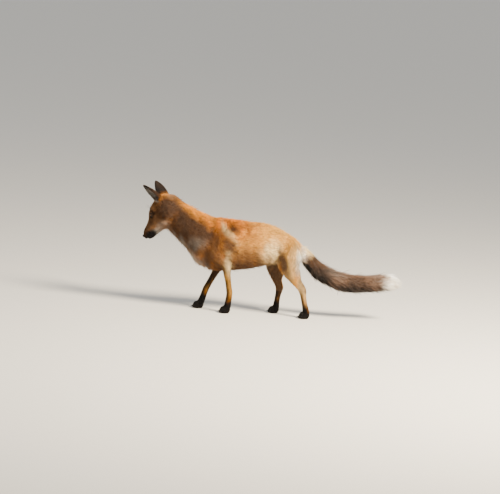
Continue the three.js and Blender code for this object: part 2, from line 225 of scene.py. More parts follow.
def lay_lines():
    """The whole fox as lines, each from the nose, the spine or the shoulder outwards."""
    chain("head", [on_head(x, 0, z) for x, z in ((-174, -20), (-140, -19), (-105, -14),
                                                 (-70, -10), (-30, -8), (22, -4))],
          ((14, 0.7, 3.2, 0.6, 190), (20, 1.0, 4.6, 0.7, 165), (26, 1.5, 6.5, 0.9, 130),
           (42, 2.6, 10, 1.1, 95), (52, 5, 17, 1.4, 62), (50, 8, 24, 1.6, 40)))
    for _, side in SIDES:
        chain("head", (on_head(-66, side * 26, -34), on_head(2, side * 44, -46)),
              ((22, 4, 14, 1.2, 80), (26, 8, 29, 1.6, 38)))
        ear = EARS[side]
        chain("ears", (ear @ Vector((0, 0, 0.004)), ear @ Vector((-0.006, 0, 0.084))),
              ((23, 0.8, 9, 0.9, 62), (9, 0.5, 5, 0.7, 90)))
    chain("neck", on_spine((-384, 372), (-338, 338), (-288, 306), (-236, 282)),
          ((66, 10, 28, 1.8, 27), (76, 11, 31, 1.9, 25), (84, 12, 32, 1.9, 25),
           (84, 12, 31, 1.9, 25)))
    chain("neck", on_spine((-370, 314), (-316, 258), (-262, 206), (-210, 182)),
          ((44, 10, 30, 1.8, 26), (50, 12, 36, 2.0, 24), (50, 12, 38, 2.0, 24),
           (36, 10, 32, 1.9, 25)))
    chain("trunk", on_spine((-236, 268), (-150, 256), (-60, 262), (10, 264), (70, 260),
                            (128, 248)),
          ((88, 11, 29, 1.8, 27), (90, 11, 28, 1.8, 28), (88, 11, 28, 1.8, 28),
           (72, 11, 28, 1.8, 27), (56, 11, 30, 1.9, 26), (34, 11, 32, 2.0, 25)))
    for (kind, side), joints in LEGS.items():
        places = [drawn(x, side * y, z) for (x, z), y in zip(joints, LEG_Y[kind])]
        toes = drawn(joints[-1][0] - 31, side * LEG_Y[kind][-1], 5)
        chain("haunch", places[:3], LEG_COAT[kind][0])
        chain("legs", [*places[2:], toes], LEG_COAT[kind][1])
    chain("tail", on_spine((118, 252), (142, 224), (176, 188), (226, 160), (288, 142),
                           (350, 142), (412, 150), (458, 153), (492, 150)),
          ((26, 9, 32, 2.0, 26), (28, 11, 38, 2.1, 25), (30, 13, 44, 2.2, 24),
           (34, 15, 50, 2.2, 24), (37, 16, 54, 2.3, 24), (36, 16, 54, 2.3, 24),
           (34, 15, 50, 2.2, 26), (28, 12, 40, 2.0, 32), (16, 6, 26, 1.6, 55)))


lay_lines()


def coat_fields(points):
    """What the lines say at each point: the lie, depth, length, width and number of locks, and
    the share of each group."""
    points = points.astype(np.float64)
    lie = np.zeros_like(points)
    sizes = np.zeros((len(points), 4))
    shares = np.zeros((len(points), len(GROUPS)))
    total = np.zeros(len(points))
    for group, start, end, low, high in LINES:
        start, run = np.array(start), np.array(end - start)
        length = np.linalg.norm(run)
        along = np.clip((points - start) @ run / length**2, 0, 1)
        away = lengths(points - start - along[:, None] * run) + 2 * MM
        low, high = np.array(low), np.array(high)
        here = low + along[:, None] * (high - low)
        weight = (here[:, 0] * MM / away) ** GRIP
        lie += weight[:, None] * run / length
        sizes += weight[:, None] * here[:, 1:]
        shares[:, group] += weight
        total += weight
    return unit(lie), sizes / total[:, None], shares / total[:, None]


def share_of(shares, *groups):
    """How much of each point belongs to some groups."""
    return shares[:, [GROUPS.index(group) for group in groups]].sum(1)


# ---------------------------------------------------------------- colours and markings


def linear(text):
    """The linear colour of an sRGB hex value."""
    parts = [int(text[i : i + 2], 16) / 255 for i in (1, 3, 5)]
    return tuple(c / 12.92 if c <= 0.04045 else ((c + 0.055) / 1.055) ** 2.4 for c in parts)


def wobble(points, size, seed):
    """Soft noise between about -1 and 1, whose patches are about size millimetres across."""
    rng = np.random.default_rng(seed)
    total = np.zeros(len(points))
    for _ in range(5):
        wave = rng.normal(size=3)
        wave *= rng.uniform(0.6, 1.5) * math.pi / (size * MM * np.linalg.norm(wave))
        total += np.sin(points @ wave + rng.uniform(0, 2 * math.pi))
    return total / 2.6


WIDE = 300
FRONT, REAR, UNDER, INNER = (-1, 0, 0), (1, 0, 0), (0, 0, -1), (0, -1, 0)

# Marks are laid over each other in order. Of one mark: its colour's name, its centre and half
# sizes (mm), how soft its edge is, how strong it is, how far it is turned in the side view
# (degrees) and the direction that it faces. One with no y runs right through the fox.
MARKS = []


def marks(groups, place, *rows):
    """Marks that may colour the same groups, in the same frame."""
    for colour, centre, half, soft, *rest in rows:
        strength, turn, facing = (*rest, *(1, 0, None)[len(rest):])
        if len(centre) == 2:
            centre, half = (centre[0], 0, centre[1]), (half[0], WIDE, half[1])
        MARKS.append((groups.split(), place, colour, centre, half, soft, strength, turn, facing))


# Rich orange over the shoulders, paler towards the rump, cream on the flank that is partly a
# painted highlight, and painted shade in brown and umber under the belly. On the shoulder a pale
# streak runs down and back as a painted highlight, with painted shade in the dark patches behind
# and below it.
marks("neck trunk haunch legs", "body",
      ("rust", (-230, 380), (150, 70), 0.5, 1, 30),
      ("rump", (54, 300), (116, 80), 0.6, 0.85),
      ("buff", (-70, 250), (95, 48), 0.6, 0.75),
      # Partly painted highlight: cream where light falls on the bulge of the flank.
      ("cream", (3, 232), (40, 52), 0.6, 0.9, 24),
      # Painted shade: brown and umber darken the belly and the lower side of the chest.
      ("brown", (-124, 190), (118, 38), 0.55, 0.85, -6),
      ("brown", (-88, 232), (46, 36), 0.7, 0.8),
      ("umber", (-88, 216), (36, 24), 0.9, 0.35),
      ("umber", (-96, 172), (94, 30), 0.6, 0.8, -6),
      # Painted highlight: the sand streak down the shoulder blade, with painted shade in the umber
      # notch above and behind it.
      ("umber", (-143, 50, 317), (21, 38, 14), 0.8, 0.95, 44),
      ("sand", (-171, 52, 310), (31, 40, 11), 0.7, 1, 56),
      ("sand", (-147, 56, 286), (28, 40, 9), 0.9, 0.6, 50),
      # Painted shade in the hollow of the upper arm.
      ("brown", (-158, 258), (21, 34), 0.6, 0.95, -12),
      ("umber", (-156, 258), (14, 28), 0.8, 0.9, -20),
      # Partly painted highlight: pale at the elbow where light falls.
      ("cream", (-158, 204), (12, 32), 0.7, 0.5))
# Neck: rich orange along the top, painted shade in umber below, and under the throat its white
# greyed as painted shade.
marks("neck", "body", ("umber", (-300, 296), (122, 58), 0.3, 0.97, 34))
marks("neck head", "body", ("amber", (-320, 400), (130, 32), 0.5, 1, 31))
# Painted shade down the front of the chest.
marks("neck trunk haunch", "body", ("umber", (-228, 250), (52, 74), 0.5, 0.7, 14))
# Painted shade on the neck behind the head.
marks("neck head", "body", ("umber", (-352, 48, 364), (48, 28, 33), 0.5, 0.9, 34))
marks("neck", "body",
      # White of the throat and breast, greyed as painted shade.
      ("ash", (-318, 224), (104, 26), 0.6, 0.6, 42),
      ("ash", (-276, 260), (26, 18), 0.9, 0.36, 34))
# Haunch: buff, with a cream and white rear edge, pale hair brightened further as a painted
# highlight.
marks("haunch trunk", "body",
      ("buff", (84, 236), (46, 74), 0.5, 0.8),
      # Partly painted highlight: cream here and white below along the rear edge of the thigh.
      ("cream", (96, 214), (26, 52), 0.8, 0.55, 6))
marks("haunch trunk tail", "body", ("white", (115, 210), (18, 64), 0.6, 1, 8))
# Legs: orange in front, pale at the elbow partly as a painted highlight, painted shade on the
# inner sides and over the front of the forelegs, a painted shadow in the fold before the haunch,
# black stockings.
marks("legs haunch", "body",
      ("rump", (-170, 110), (90, 62), 0.4, 0.8),
      # Partly painted highlight: pale at the back of the elbow where light falls.
      ("cream", (-152, 172), (15, 30), 0.7, 0.85, -10),
      # Painted shade on the inner sides of the forelegs.
      ("umber", (-170, 130), (90, 70), 0.4, 1, 0, INNER),
      # Black stocking on the front of the forelegs, darkened further as painted shade.
      ("umber", (-184, 160), (30, 56), 0.6, 0.8, 10, FRONT),
      ("buff", (80, 112), (110, 70), 0.4),
      ("sand", (74, 170), (22, 30), 0.8, 0.6),
      ("cream", (134, 120), (22, 60), 0.7, 0.6, -10),
      # Painted shade on the inner sides of the hind legs.
      ("umber", (70, 130), (110, 90), 0.4, 0.95, 0, INNER))
# Painted shadow in the fold between the flank and the thigh.
marks("haunch trunk legs", "body", ("umber", (52, 208), (14, 60), 0.6, 0.95, -22))
marks("legs", "body",
      ("soot", (-200, 12), (150, 48), 0.3),
      ("soot", (90, 6), (160, 46), 0.3),
      ("soot", (-196, 64), (80, 74), 0.3, 0.8, 0, (-1, 0, 0.2)),
      ("soot", (80, 60), (90, 70), 0.3, 0.8, 0, (-1, 0, 0.3)))
# Tail: cream over the root, partly a painted highlight on its top, grey-brown brush with black and
# paler patches, painted shade under the brush and its root, white tip.
marks("tail haunch trunk", "body",
      ("brush", (340, 150), (212, 260), 0.12),
      # Partly painted highlight: cream on top of the root.
      ("cream", (142, 262), (32, 22), 0.4, 1, 45))
marks("tail", "body",
      ("ash", (246, 176), (36, 18), 0.8, 0.2, 14),
      ("ash", (396, 172), (36, 24), 0.8, 0.14),
      # Painted shade: soot under the brush and under its root.
      ("soot", (260, 150), (190, 120), 0.2, 0.85, 0, UNDER),
      ("soot", (146, 206), (30, 34), 0.5, 0.9, 0, (-0.4, 0, -1)),
      ("soot", (158, 216), (22, 24), 0.8, 0.55, 40),
      # Dark patches low on the brush, partly black hair and partly painted shade.
      ("soot", (194, 160), (34, 22), 0.7, 0.8, 30),
      ("soot", (304, 126), (40, 24), 0.7, 0.85),
      ("soot", (344, 160), (12, 40), 0.8, 0.4, -20),
      ("white", (492, 150), (60, 60), 0.22))
# Head: red-brown with a bright bridge, painted shade behind the cheeks and the jaw, white chin and
# cheeks greyed as painted shade, a dark muzzle whose black patch also stands for painted shade at
# the mouth, and dark eyes.
marks("head", "head",
      ("russet", (-70, 20), (170, 60), 0.4),
      ("amber", (20, 60), (52, 34), 0.6, 0.9))
marks("head neck", "head",
      # Painted shade behind the cheeks, running on into the neck.
      ("umber", (-16, 46, -2), (56, 30, 38), 0.5, 0.95),
      ("soot", (-4, 46, -12), (42, 28, 28), 0.8, 0.45),
      ("umber", (18, 44, -26), (36, 34, 26), 0.6, 0.9))
marks("head", "head",
      ("rust", (-112, 0, 16), (44, 7, 14), 0.6, 0.4),
      ("umber", (-162, -4), (26, 18), 0.7, 0.85),
      # White cheeks and chin, greyed as painted shade.
      ("ash", (-108, -60), (46, 28), 0.5, 0.62, -8),
      ("ash", (-140, -46), (36, 22), 0.35))
# Painted shade behind the jaw.
marks("head neck", "head", ("umber", (-14, 44, -56), (34, 36, 26), 0.7, 0.65))
marks("head", "head",
      # Black patch on the side of the muzzle, also standing for painted shade at the mouth.
      ("soot", (-147, 13, -32), (28, 20, 19), 0.4),
      ("soot", (-169, 0, -24), (10, 18, 17), 0.4, 0.95),
      ("umber", (-98, 22, 4), (22, 16, 13), 0.6, 0.55, -24),
      ("soot", (-80, 27, 15), (15, 14, 11), 0.5, 0.9))
# Ears: black backs with a painted sheen over their outer part and rim, a paler tip, greyish hair
# inside with painted shade deeper in the cup, seen in each ear's own frame.
marks("ears", "ear",
      ("soot", (0, 0, 52), (40, 60, 46), 0.25),
      ("ash", (-6, -10, 26), (60, 14, 40), 0.6, 0.55, 0, FRONT),
      # Painted shade in the cup of the ear.
      ("soot", (-6, 10, 44), (60, 12, 44), 0.4, 1, 0, FRONT),
      # Painted sheen on the back and the rim of the ear.
      ("brush", (0, 2, 58), (40, 18, 34), 0.9, 0.4, 0, REAR),
      ("brush", (0, 20, 46), (16, 6, 40), 0.9, 0.6),
      ("brush", (-6, 0, 87), (12, 12, 8), 0.5, 0.8))
marks("ears head", "ear", ("ash", (-12, -6, 6), (10, 12, 9), 0.6, 0.7))

# Several of these stand partly for light and shade: brown and much of umber are laid as painted
# shade, ash on the throat, breast and cheeks is their white greyed as painted shade, russet is the
# face's colour darkened in part as painted shade, and cream, sand and white also serve as painted
# highlights.
SHADES = {
    "coat": ("#935914", "Ground colour of the coat"),
    "rust": ("#B96A14", "Shoulders and bridge of the muzzle"),
    "amber": ("#C27C16", "Bright strip on the nape and the crown, forelegs"),
    "russet": ("#876242", "Face"),
    "rump": ("#D09C46", "Loin and rump"),
    "buff": ("#CA9038", "Flank and thigh"),
    "cream": ("#F5D9A0", "Flank, thigh and elbow"),
    "sand": ("#E2BF84", "Streak on the shoulder, rims of the ears"),
    "brown": ("#805528", "Belly"),
    "umber": ("#432A15", "Underside of the neck and dark patches"),
    "brush": ("#5F4635", "Upper side of the brush"),
    "ash": ("#A39A90", "Throat, breast and cheeks"),
    "white": ("#EDE6DA", "Tip of the brush and rear edge of the thigh"),
    "soot": ("#120E0C", "Stockings, backs of the ears, underside of the brush"),
}

FACING_EDGE = (-0.2, 0.5)  # cosines between which a mark that faces one way fades in


def coat_colour(points, normals, shares, shades):
    """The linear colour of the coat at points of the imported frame."""
    places = {"body": points / MM - ORIGIN, "head": in_head(points), "ear": np.zeros_like(points)}
    outwards = normals.copy()
    outwards[:, 1] *= np.sign(places["body"][:, 1])
    facings = {"body": outwards, "head": normals @ np.array(HEAD.to_3x3()), "ear": normals.copy()}
    head_side = places["head"][:, 1] > 0
    for side, ear in EARS.items():
        here = head_side == (side > 0)
        inside = local(ear, points[here]) / MM
        inside[:, 1] *= side
        places["ear"][here] = inside
        facings["ear"][here] = normals[here] @ np.array(ear.to_3x3())
    colour = np.tile(np.array(shades["coat"]), (len(points), 1))
    # Edges of marks wander, and on the body they run out in streaks along the hair.
    edge = 0.12 * wobble(points, 26, 5) + 0.07 * wobble(points, 9, 6)
    streaks = 0.2 * wobble(points * (1, 0.6, 0.3), 10, 7)
    edges = {"body": edge + streaks, "head": edge, "ear": edge}
    for groups, place, name, centre, half, soft, strength, turn, facing in MARKS:
        away = places[place] - centre
        if place == "head" or (place == "body" and centre[1]):
            away[:, 1] = np.abs(places[place][:, 1]) - centre[1]
        c, s = math.cos(math.radians(turn)), math.sin(math.radians(turn))
        x, z = away[:, 0] * c - away[:, 2] * s, away[:, 0] * s + away[:, 2] * c
        size = np.sqrt((x / half[0]) ** 2 + (away[:, 1] / half[1]) ** 2 + (z / half[2]) ** 2)
        share = strength * smooth(-size + edges[place] * min(1, soft * 2.5), -1 - soft, -1 + soft)
        share *= np.clip(share_of(shares, *groups) * 1.6 - 0.25, 0, 1)
        if facing:
            way = np.array(facing) / np.linalg.norm(facing)
            share *= smooth(facings[place] @ way, *FACING_EDGE)
        colour += share[:, None] * (np.array(shades[name]) - colour)
    return colour


# ---------------------------------------------------------------- materials


def add_node(tree, kind, settings=(), values=(), links=()):
    """Adds a node with its settings, plain socket values and links from (node, socket) pairs."""
    made = tree.nodes.new(kind)
    made.location = (220 * len(tree.nodes), 0)
    for name, value in dict(settings).items():
        setattr(made, name, value)
    for name, value in dict(values).items():
        made.inputs[name].default_value = value
    for name, (source, socket) in dict(links).items():
        tree.links.new(source.outputs[socket], made.inputs[name])
    return made


def material_start(name):
    """An empty material and its node tree."""
    material = bpy.data.materials.new(name)
    material.use_nodes = True
    material.node_tree.nodes.clear()
    return material, material.node_tree


def material_end(tree, shine, colour, relief=None):
    """The shader with its plain values, under the nodes of its colour and relief."""
    links = {"Base Color": (colour, 0)}
    if relief:
        links["Normal"] = (relief, 0)
    surface = add_node(tree, "ShaderNodeBsdfPrincipled", {}, shine, links)
    add_node(tree, "ShaderNodeOutputMaterial", {}, {}, {"Surface": (surface, 0)})


def coat_end(tree, pattern, span, height, relief, shine):
    """Lightens and darkens the coat's own colours by a pattern, with relief from its height."""
    colour = add_node(tree, "ShaderNodeAttribute", {"attribute_name": "Coat"})
    limits = dict(zip(("From Min", "From Max", "To Min", "To Max"), span))
    shade = add_node(tree, "ShaderNodeMapRange", {}, limits, {"Value": pattern})
    tone = add_node(tree, "ShaderNodeVectorMath", {"operation": "SCALE"}, {},
                    {0: (colour, "Color"), "Scale": (shade, 0)})
    bump = add_node(tree, "ShaderNodeBump", {}, relief, {"Height": height})
    material_end(tree, shine, tone, bump)


def hair_material(name, roughness, gloss, contrast):
    """Guard hair: scaly keratin threads of 0.06 mm, soft gloss along them. They are drawn as
    strands of about 0.4 mm inside each lock, because real ones are too fine to show."""
    material, tree = material_start(name)
    lock = add_node(tree, "ShaderNodeAttribute", {"attribute_name": "Lock"})
    across = add_node(tree, "ShaderNodeVectorMath", {"operation": "MULTIPLY"}, {1: (6, 1.3, 40)},
                      {0: (lock, "Vector")})
    strands = add_node(tree, "ShaderNodeTexNoise", {}, {"Scale": 1.0, "Detail": 2.0},
                       {"Vector": (across, 0)})
    coat_end(tree, (strands, "Fac"), (0.3, 0.7, 1 - contrast, 1 + contrast), (strands, "Fac"),
             {"Strength": 0.35, "Distance": 0.4 * MM},
             {"Roughness": roughness, "Sheen Weight": 0.4 * gloss, "Sheen Roughness": 0.5,
              "Specular IOR Level": gloss})
    return material


def underfur_material():
    """Short underfur close to the hide: matt wool of 0.02 mm fibres, drawn as 1 mm flecks."""
    material, tree = material_start("fox_underfur")
    place = add_node(tree, "ShaderNodeTexCoord")
    flecks, mottle = (
        add_node(tree, "ShaderNodeTexNoise", {}, {"Scale": scale, "Detail": detail},
                 {"Vector": (place, "Object")})
        for scale, detail in ((900.0, 3.0), (120.0, 2.0))
    )
    both = add_node(tree, "ShaderNodeMath", {"operation": "ADD"}, {},
                    {0: (flecks, "Fac"), 1: (mottle, "Fac")})
    coat_end(tree, (both, 0), (0.7, 1.3, 0.75, 1.05), (flecks, "Fac"),
             {"Strength": 0.6, "Distance": 0.6 * MM},
             {"Roughness": 0.85, "Sheen Weight": 0.1, "Specular IOR Level": 0.2})
    return material


def eye_material(iris):
    """A wet eye: amber iris with darker rays and a slit pupil under a clear, glossy cornea."""
    material, tree = material_start("fox_eye_wet_cornea")
    place = add_node(tree, "ShaderNodeAttribute", {"attribute_name": "Gaze"})
    parts = add_node(tree, "ShaderNodeSeparateXYZ", {}, {}, {0: (place, "Vector")})
    flat = add_node(tree, "ShaderNodeCombineXYZ", {}, {}, {"X": (parts, "X"), "Y": (parts, "Y")})
    ring = add_node(tree, "ShaderNodeVectorMath", {"operation": "LENGTH"}, {}, {0: (flat, 0)})
    narrow = add_node(tree, "ShaderNodeVectorMath", {"operation": "MULTIPLY"},
                      {1: (1.5, 1, 0)}, {0: (flat, 0)})
    slit = add_node(tree, "ShaderNodeVectorMath", {"operation": "LENGTH"}, {}, {0: (narrow, 0)})
    rays = add_node(tree, "ShaderNodeTexNoise", {}, {"Scale": 1.6, "Detail": 4.0},
                    {"Vector": (place, "Vector")})
    tone = add_node(tree, "ShaderNodeValToRGB", {}, {}, {"Fac": (rays, "Fac")})
    for stop, position, light in zip(tone.color_ramp.elements, (0.3, 0.65), (0.35, 1)):
        stop.position = position
        stop.color = (*(c * light for c in iris), 1)
    dark = (*linear("#0B0806"), 1)
    # First the dark rim of the iris, then the pupil, from their distances in millimetres.
    for measure, inside, outside in ((ring, 5.2, 6.4), (slit, 4.4, 3.7)):
        share = add_node(tree, "ShaderNodeMapRange", {"interpolation_type": "SMOOTHSTEP"},
                         {"From Min": inside, "From Max": outside}, {"Value": (measure, "Value")})
        tone = add_node(tree, "ShaderNodeMixRGB", {}, {"Color2": dark},
                        {"Fac": (share, 0), "Color1": (tone, 0)})
    material_end(tree, {"Roughness": 0.09, "IOR": 1.38, "Specular IOR Level": 0.22}, tone)
    return material


def plain_material(name, colour, dark, pattern, shine, relief=None, span=None):
    """A material of one colour, down to a share of it where its pattern is low. pattern is a
    kind of texture node with its settings, values and socket, and span limits its values."""
    material, tree = material_start(name)
    kind, settings, values, socket = pattern
    place = add_node(tree, "ShaderNodeTexCoord")
    height = (add_node(tree, kind, settings, values, {"Vector": (place, "Object")}), socket)
    if span:
        height = (add_node(tree, "ShaderNodeMapRange", {}, span, {"Value": height}), 0)
    tone = add_node(tree, "ShaderNodeMixRGB", {},
                    {"Color1": (*(c * dark for c in colour), 1), "Color2": (*colour, 1)},
                    {"Fac": height})
    bump = relief and add_node(tree, "ShaderNodeBump", {}, relief, {"Height": height})
    material_end(tree, shine, tone, bump)
    return material


def leather_material(name, colour, cell):
    """Bare skin of the nose and lids: moist, black, in cells of about a millimetre."""
    cells = ("ShaderNodeTexVoronoi", {"feature": "DISTANCE_TO_EDGE"}, {"Scale": 1 / (cell * MM)},
             "Distance")
    shine = {"Roughness": 0.5, "Specular IOR Level": 0.25, "Coat Weight": 0.1,
             "Coat Roughness": 0.2}
    relief = {"Strength": 0.5, "Distance": 0.3 * MM}
    return plain_material(name, colour, 0.45, cells, shine, relief, {"From Max": 0.25})


def horn_material(name, colour, band):
    """Claw and whisker keratin: dark, dense horn with fine growth bands and a dull shine."""
    bands = ("ShaderNodeTexNoise", {}, {"Scale": 1 / (band * MM), "Detail": 3.0}, "Fac")
    return plain_material(name, colour, 0.5, bands, {"Roughness": 0.38, "Specular IOR Level": 0.5},
                          {"Strength": 0.3, "Distance": 0.2 * MM})


def paper_material(colour):
    """Studio paper: matt, pale, with hardly visible mottling about 40 mm across."""
    fibres = ("ShaderNodeTexNoise", {}, {"Scale": 1 / (40 * MM), "Detail": 2.0}, "Fac")
    return plain_material("matt_studio_paper", colour, 0.97, fibres,
                          {"Roughness": 0.9, "Specular IOR Level": 0.2})


# ---------------------------------------------------------------- mesh helpers


def mesh_of(name, shape):
    """A new mesh from a finished bmesh."""
    mesh = bpy.data.meshes.new(name)
    shape.to_mesh(mesh)
    shape.free()
    return mesh


def show(name, mesh, *materials):
    """A new object at the origin that rides on the fox's one body."""
    mesh.name = name
    made = bpy.data.objects.new(name, mesh)
    bpy.context.scene.collection.objects.link(made)
    for material in materials:
        mesh.materials.append(material)
    mesh.shade_smooth()
    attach(made, "root")
    return made


def merged_copy(names):
    """The closed solids of some nodes as one bmesh, their loose triangles joined."""
    whole = bmesh.new()
    for name in names:
        part = bmesh.new()
        part.from_mesh(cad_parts[name].data)
        bmesh.ops.remove_doubles(part, verts=part.verts, dist=0.01 * MM)
        spare = mesh_of("spare", part)
        whole.from_mesh(spare)
        bpy.data.meshes.remove(spare)
    return whole


def applied(made):
    """Puts the object's modifiers into its mesh."""
    graph = bpy.context.evaluated_depsgraph_get()
    done = bpy.data.meshes.new_from_object(made.evaluated_get(graph))
    made.modifiers.clear()
    made.data = done


def rounded(made, levels):
    """Applies a subdivision surface."""
    finer = made.modifiers.new("Subdivision", "SUBSURF")
    finer.levels = finer.render_levels = levels
    applied(made)
    made.data.shade_smooth()


def read(items, field, width, kind=np.float32):
    """One field of the items of a mesh, as rows of width numbers."""
    found = np.empty(len(items) * width, kind)
    items.foreach_get(field, found)
    return found.reshape(-1, width)


def places_of(mesh):
    return read(mesh.vertices, "co", 3).astype(np.float64)


def normals_of(mesh):
    return read(mesh.vertex_normals, "vector", 3).astype(np.float64)


def set_places(mesh, points):
    mesh.vertices.foreach_set("co", points.astype(np.float32).ravel())
    mesh.update()


def set_values(mesh, name, kind, values):
    """Writes a value for each vertex."""
    field = "color" if kind == "FLOAT_COLOR" else "vector"
    layer = mesh.attributes.new(name, kind, "POINT")
    layer.data.foreach_set(field, values.astype(np.float32).ravel())


def relaxed(points, ends, steps, freedom):
    """Smooths vertices along their edges, by turns inwards and back outwards, so that the
    facets go and the size stays. freedom says how far each vertex may follow."""
    first, second = ends.T
    count = np.bincount(ends.ravel(), minlength=len(points))[:, None]
    for step in range(2 * steps):
        total = [np.bincount(first, axis[second], len(points))
                 + np.bincount(second, axis[first], len(points)) for axis in points.T]
        pull = 0.6 if step % 2 == 0 else -0.61
        points = points + pull * freedom[:, None] * (np.stack(total, 1) / count - points)
    return points


# ---------------------------------------------------------------- skin

VOXEL = 1.8  # size of the first even faces (mm)
DECK = 0.11  # metres above which long hair hides the hide
THINNED = 0.88  # share of the faces under long hair that are left out
SMOOTHINGS = 14
TOE_GAPS = (-8.6, 0, 8.6)  # places between the toes, across a foot (mm)
# How deep these are pressed into the hide (mm), and how far the lips' edges rise from it.
LIP_GROOVE, NOSE_GROOVE, TOE_GROOVE, PAD_SEAT, LIP_EDGE = 1.9, 1.2, 2.6, 3, 0.8
SKIN = {}


def lid_height(along):
    """Half the height of the opening between the lids, at a place along it (mm)."""
    return EYE_HALF[1] * np.clip(1 - (np.abs(along) / EYE_HALF[0]) ** 2.0, 0, 1)


def past_lids(seen):
    """How far outside of the opening each place before an eye lies (mm): below 0 inside it."""
    return np.maximum(np.abs(seen[:, 1]) - lid_height(seen[:, 0]),
                      np.abs(seen[:, 0]) - EYE_HALF[0])


def shape_lids(points):
    """Lays the skin round each eyeball as lids, and hides it behind the opening."""
    for eye in EYES.values():
        seen = local(eye, points)
        away = lengths(seen)
        near = (away < 2.4 * EYE_RADIUS) & (seen[:, 2] > -3)
        here, radius = seen[near], away[near]
        beyond = past_lids(here / radius[:, None] * EYE_RADIUS)
        lid = EYE_RADIUS + LID + 0.5 * smooth(beyond, 0, 4)
        outer = np.maximum(radius, EYE_RADIUS + LID)
        target = outer + (1 - smooth(beyond, 0.5, 8)) * (lid - outer)
        target += (1 - smooth(beyond, -0.9, 0.1)) * (EYE_RADIUS - 1.6 - target)
        target = radius + smooth(here[:, 2], -3, 1.5) * (target - radius)
        points[near] = placed(eye, here / radius[:, None] * target[:, None])
    return points


def lid_distance(points):
    """How far outside of the opening between the nearer eye's lids each point lies (mm)."""
    nearest = np.full(len(points), 99.0)
    for eye in EYES.values():
        seen = local(eye, points)
        here = (lengths(seen) < 14) & (seen[:, 2] > 0)
        nearest = np.where(here, past_lids(seen), nearest)
    return nearest


def nose_distance(head, half):
    """1 on the pad of half sizes half, less inside it and more outside."""
    return lengths((head - NOSE_PLACE) / half)


def mouth_distance(head):
    """How far places in the head's frame are from the line of the lips (mm)."""
    ahead = MOUTH_CORNER[0] - head[:, 0]
    line_z = MOUTH_CORNER[1] + ahead * math.tan(math.radians(LIP_SLOPE))
    sag = LIP_SAG * np.sin(np.clip(ahead / LIP_RUN, 0, 1) * math.pi)
    return np.hypot(head[:, 2] - line_z + sag, np.clip(-ahead, 0, None))


def shape_mouth(points, normals):
    """Presses the line of the lips into the muzzle, and a groove under the nose."""
    head = in_head(points)
    on_muzzle = smooth(-head[:, 0], 90, 104) * smooth(-head[:, 2], 8, 18)
    away = mouth_distance(head)
    depth = LIP_GROOVE * bell(away, 1.5) - LIP_EDGE * bell(away - 3.4, 1.8)
    groove = NOSE_GROOVE * bell(head[:, 1], 1.2) * smooth(-head[:, 0], 160, 168)
    groove *= smooth(head[:, 2], -34, -28) * smooth(-head[:, 2], 14, 20)
    return points - normals * ((depth * on_muzzle + groove) * MM)[:, None]


def foot_place(kind, side):
    """The root of a foot's toes, put down on the floor."""
    return drawn(LEGS[kind, side][-1][0], side * LEG_Y[kind][-1], 0)


def toe_grooves(points):
    """How deep in a groove between two toes each point lies, from 0 to 1."""
    deep = np.zeros(len(points))
    for key in LEGS:
        away = (points - np.array(foot_place(*key))) / MM
        front = smooth(-away[:, 0], 6, 15) * smooth(-away[:, 2], -30, -16)
        near = (np.abs(away[:, 1]) < 20) & (away[:, 0] > -40)
        for aside in TOE_GAPS:
            spread = aside * (1 + 0.004 * np.clip(-away[:, 0], 0, 40))
            deep = np.maximum(deep, np.where(near, bell(away[:, 1] - spread, 1.3) * front, 0))
    return deep


def flesh_in_one(flesh):
    """One mesh of small even faces round all the flesh and the hide behind the nose."""
    whole = merged_copy(flesh)
    collar = bmesh.ops.create_uvsphere(whole, u_segments=32, v_segments=20, radius=1)["verts"]
    middle, half = NOSE_COLLAR
    spot = Matrix.Translation(Vector(middle) * MM)
    widths = Matrix.Diagonal((*(size * MM for size in half), 1))
    bmesh.ops.transform(whole, matrix=HEAD @ spot @ widths, verts=collar)
    skin = show("skin", mesh_of("skin", whole), underfur_material())
    grain = skin.modifiers.new("Remesh", "REMESH")
    grain.mode = "VOXEL"
    grain.voxel_size = VOXEL * MM
    applied(skin)

    # The trunk, neck and brush are mostly under long hair, so they keep fewer faces.
    points = places_of(skin.data)
    shares = coat_fields(points)[2]
    plain = share_of(shares, "neck", "trunk", "haunch", "tail") * (points[:, 2] > DECK) > 0.9
    group = skin.vertex_groups.new(name="plain")
    group.add(np.nonzero(plain)[0].tolist(), 1.0, "REPLACE")
    thin = skin.modifiers.new("Decimate", "DECIMATE")
    thin.vertex_group = "plain"
    thin.vertex_group_factor = 1.0
    thin.ratio = 1 - THINNED * float(plain.mean())
    applied(skin)
    skin.vertex_groups.clear()
    return skin


def refine(mesh):
    """Finer faces round the eyes, the lips, the nose and the toes."""
    fine = bmesh.new()
    fine.from_mesh(mesh)
    eyes = [eye.translation for eye in EYES.values()]
    lips, lips_end = on_head(-170, 0, -30), on_head(-112, 0, -36)
    toes = [foot_place(*key) + Vector((-0.02, 0, 0.008)) for key in LEGS]

    def close(face):
        middle = face.calc_center_median()
        if any((middle - eye).length < 15 * MM for eye in eyes):
            return True
        if middle.z < 26 * MM and any((middle - toe).length < 20 * MM for toe in toes):
            return True
        along = (middle - lips).dot(lips_end - lips) / (lips_end - lips).length_squared
        return (middle - lips.lerp(lips_end, min(max(along, 0), 1))).length < 24 * MM

    edges = {e for f in fine.faces if close(f) for e in f.edges}
    bmesh.ops.subdivide_edges(fine, edges=list(edges), cuts=1, use_grid_fill=True)
    bmesh.ops.triangulate(fine, faces=[f for f in fine.faces if len(f.verts) > 4])
    fine.to_mesh(mesh)
    fine.free()


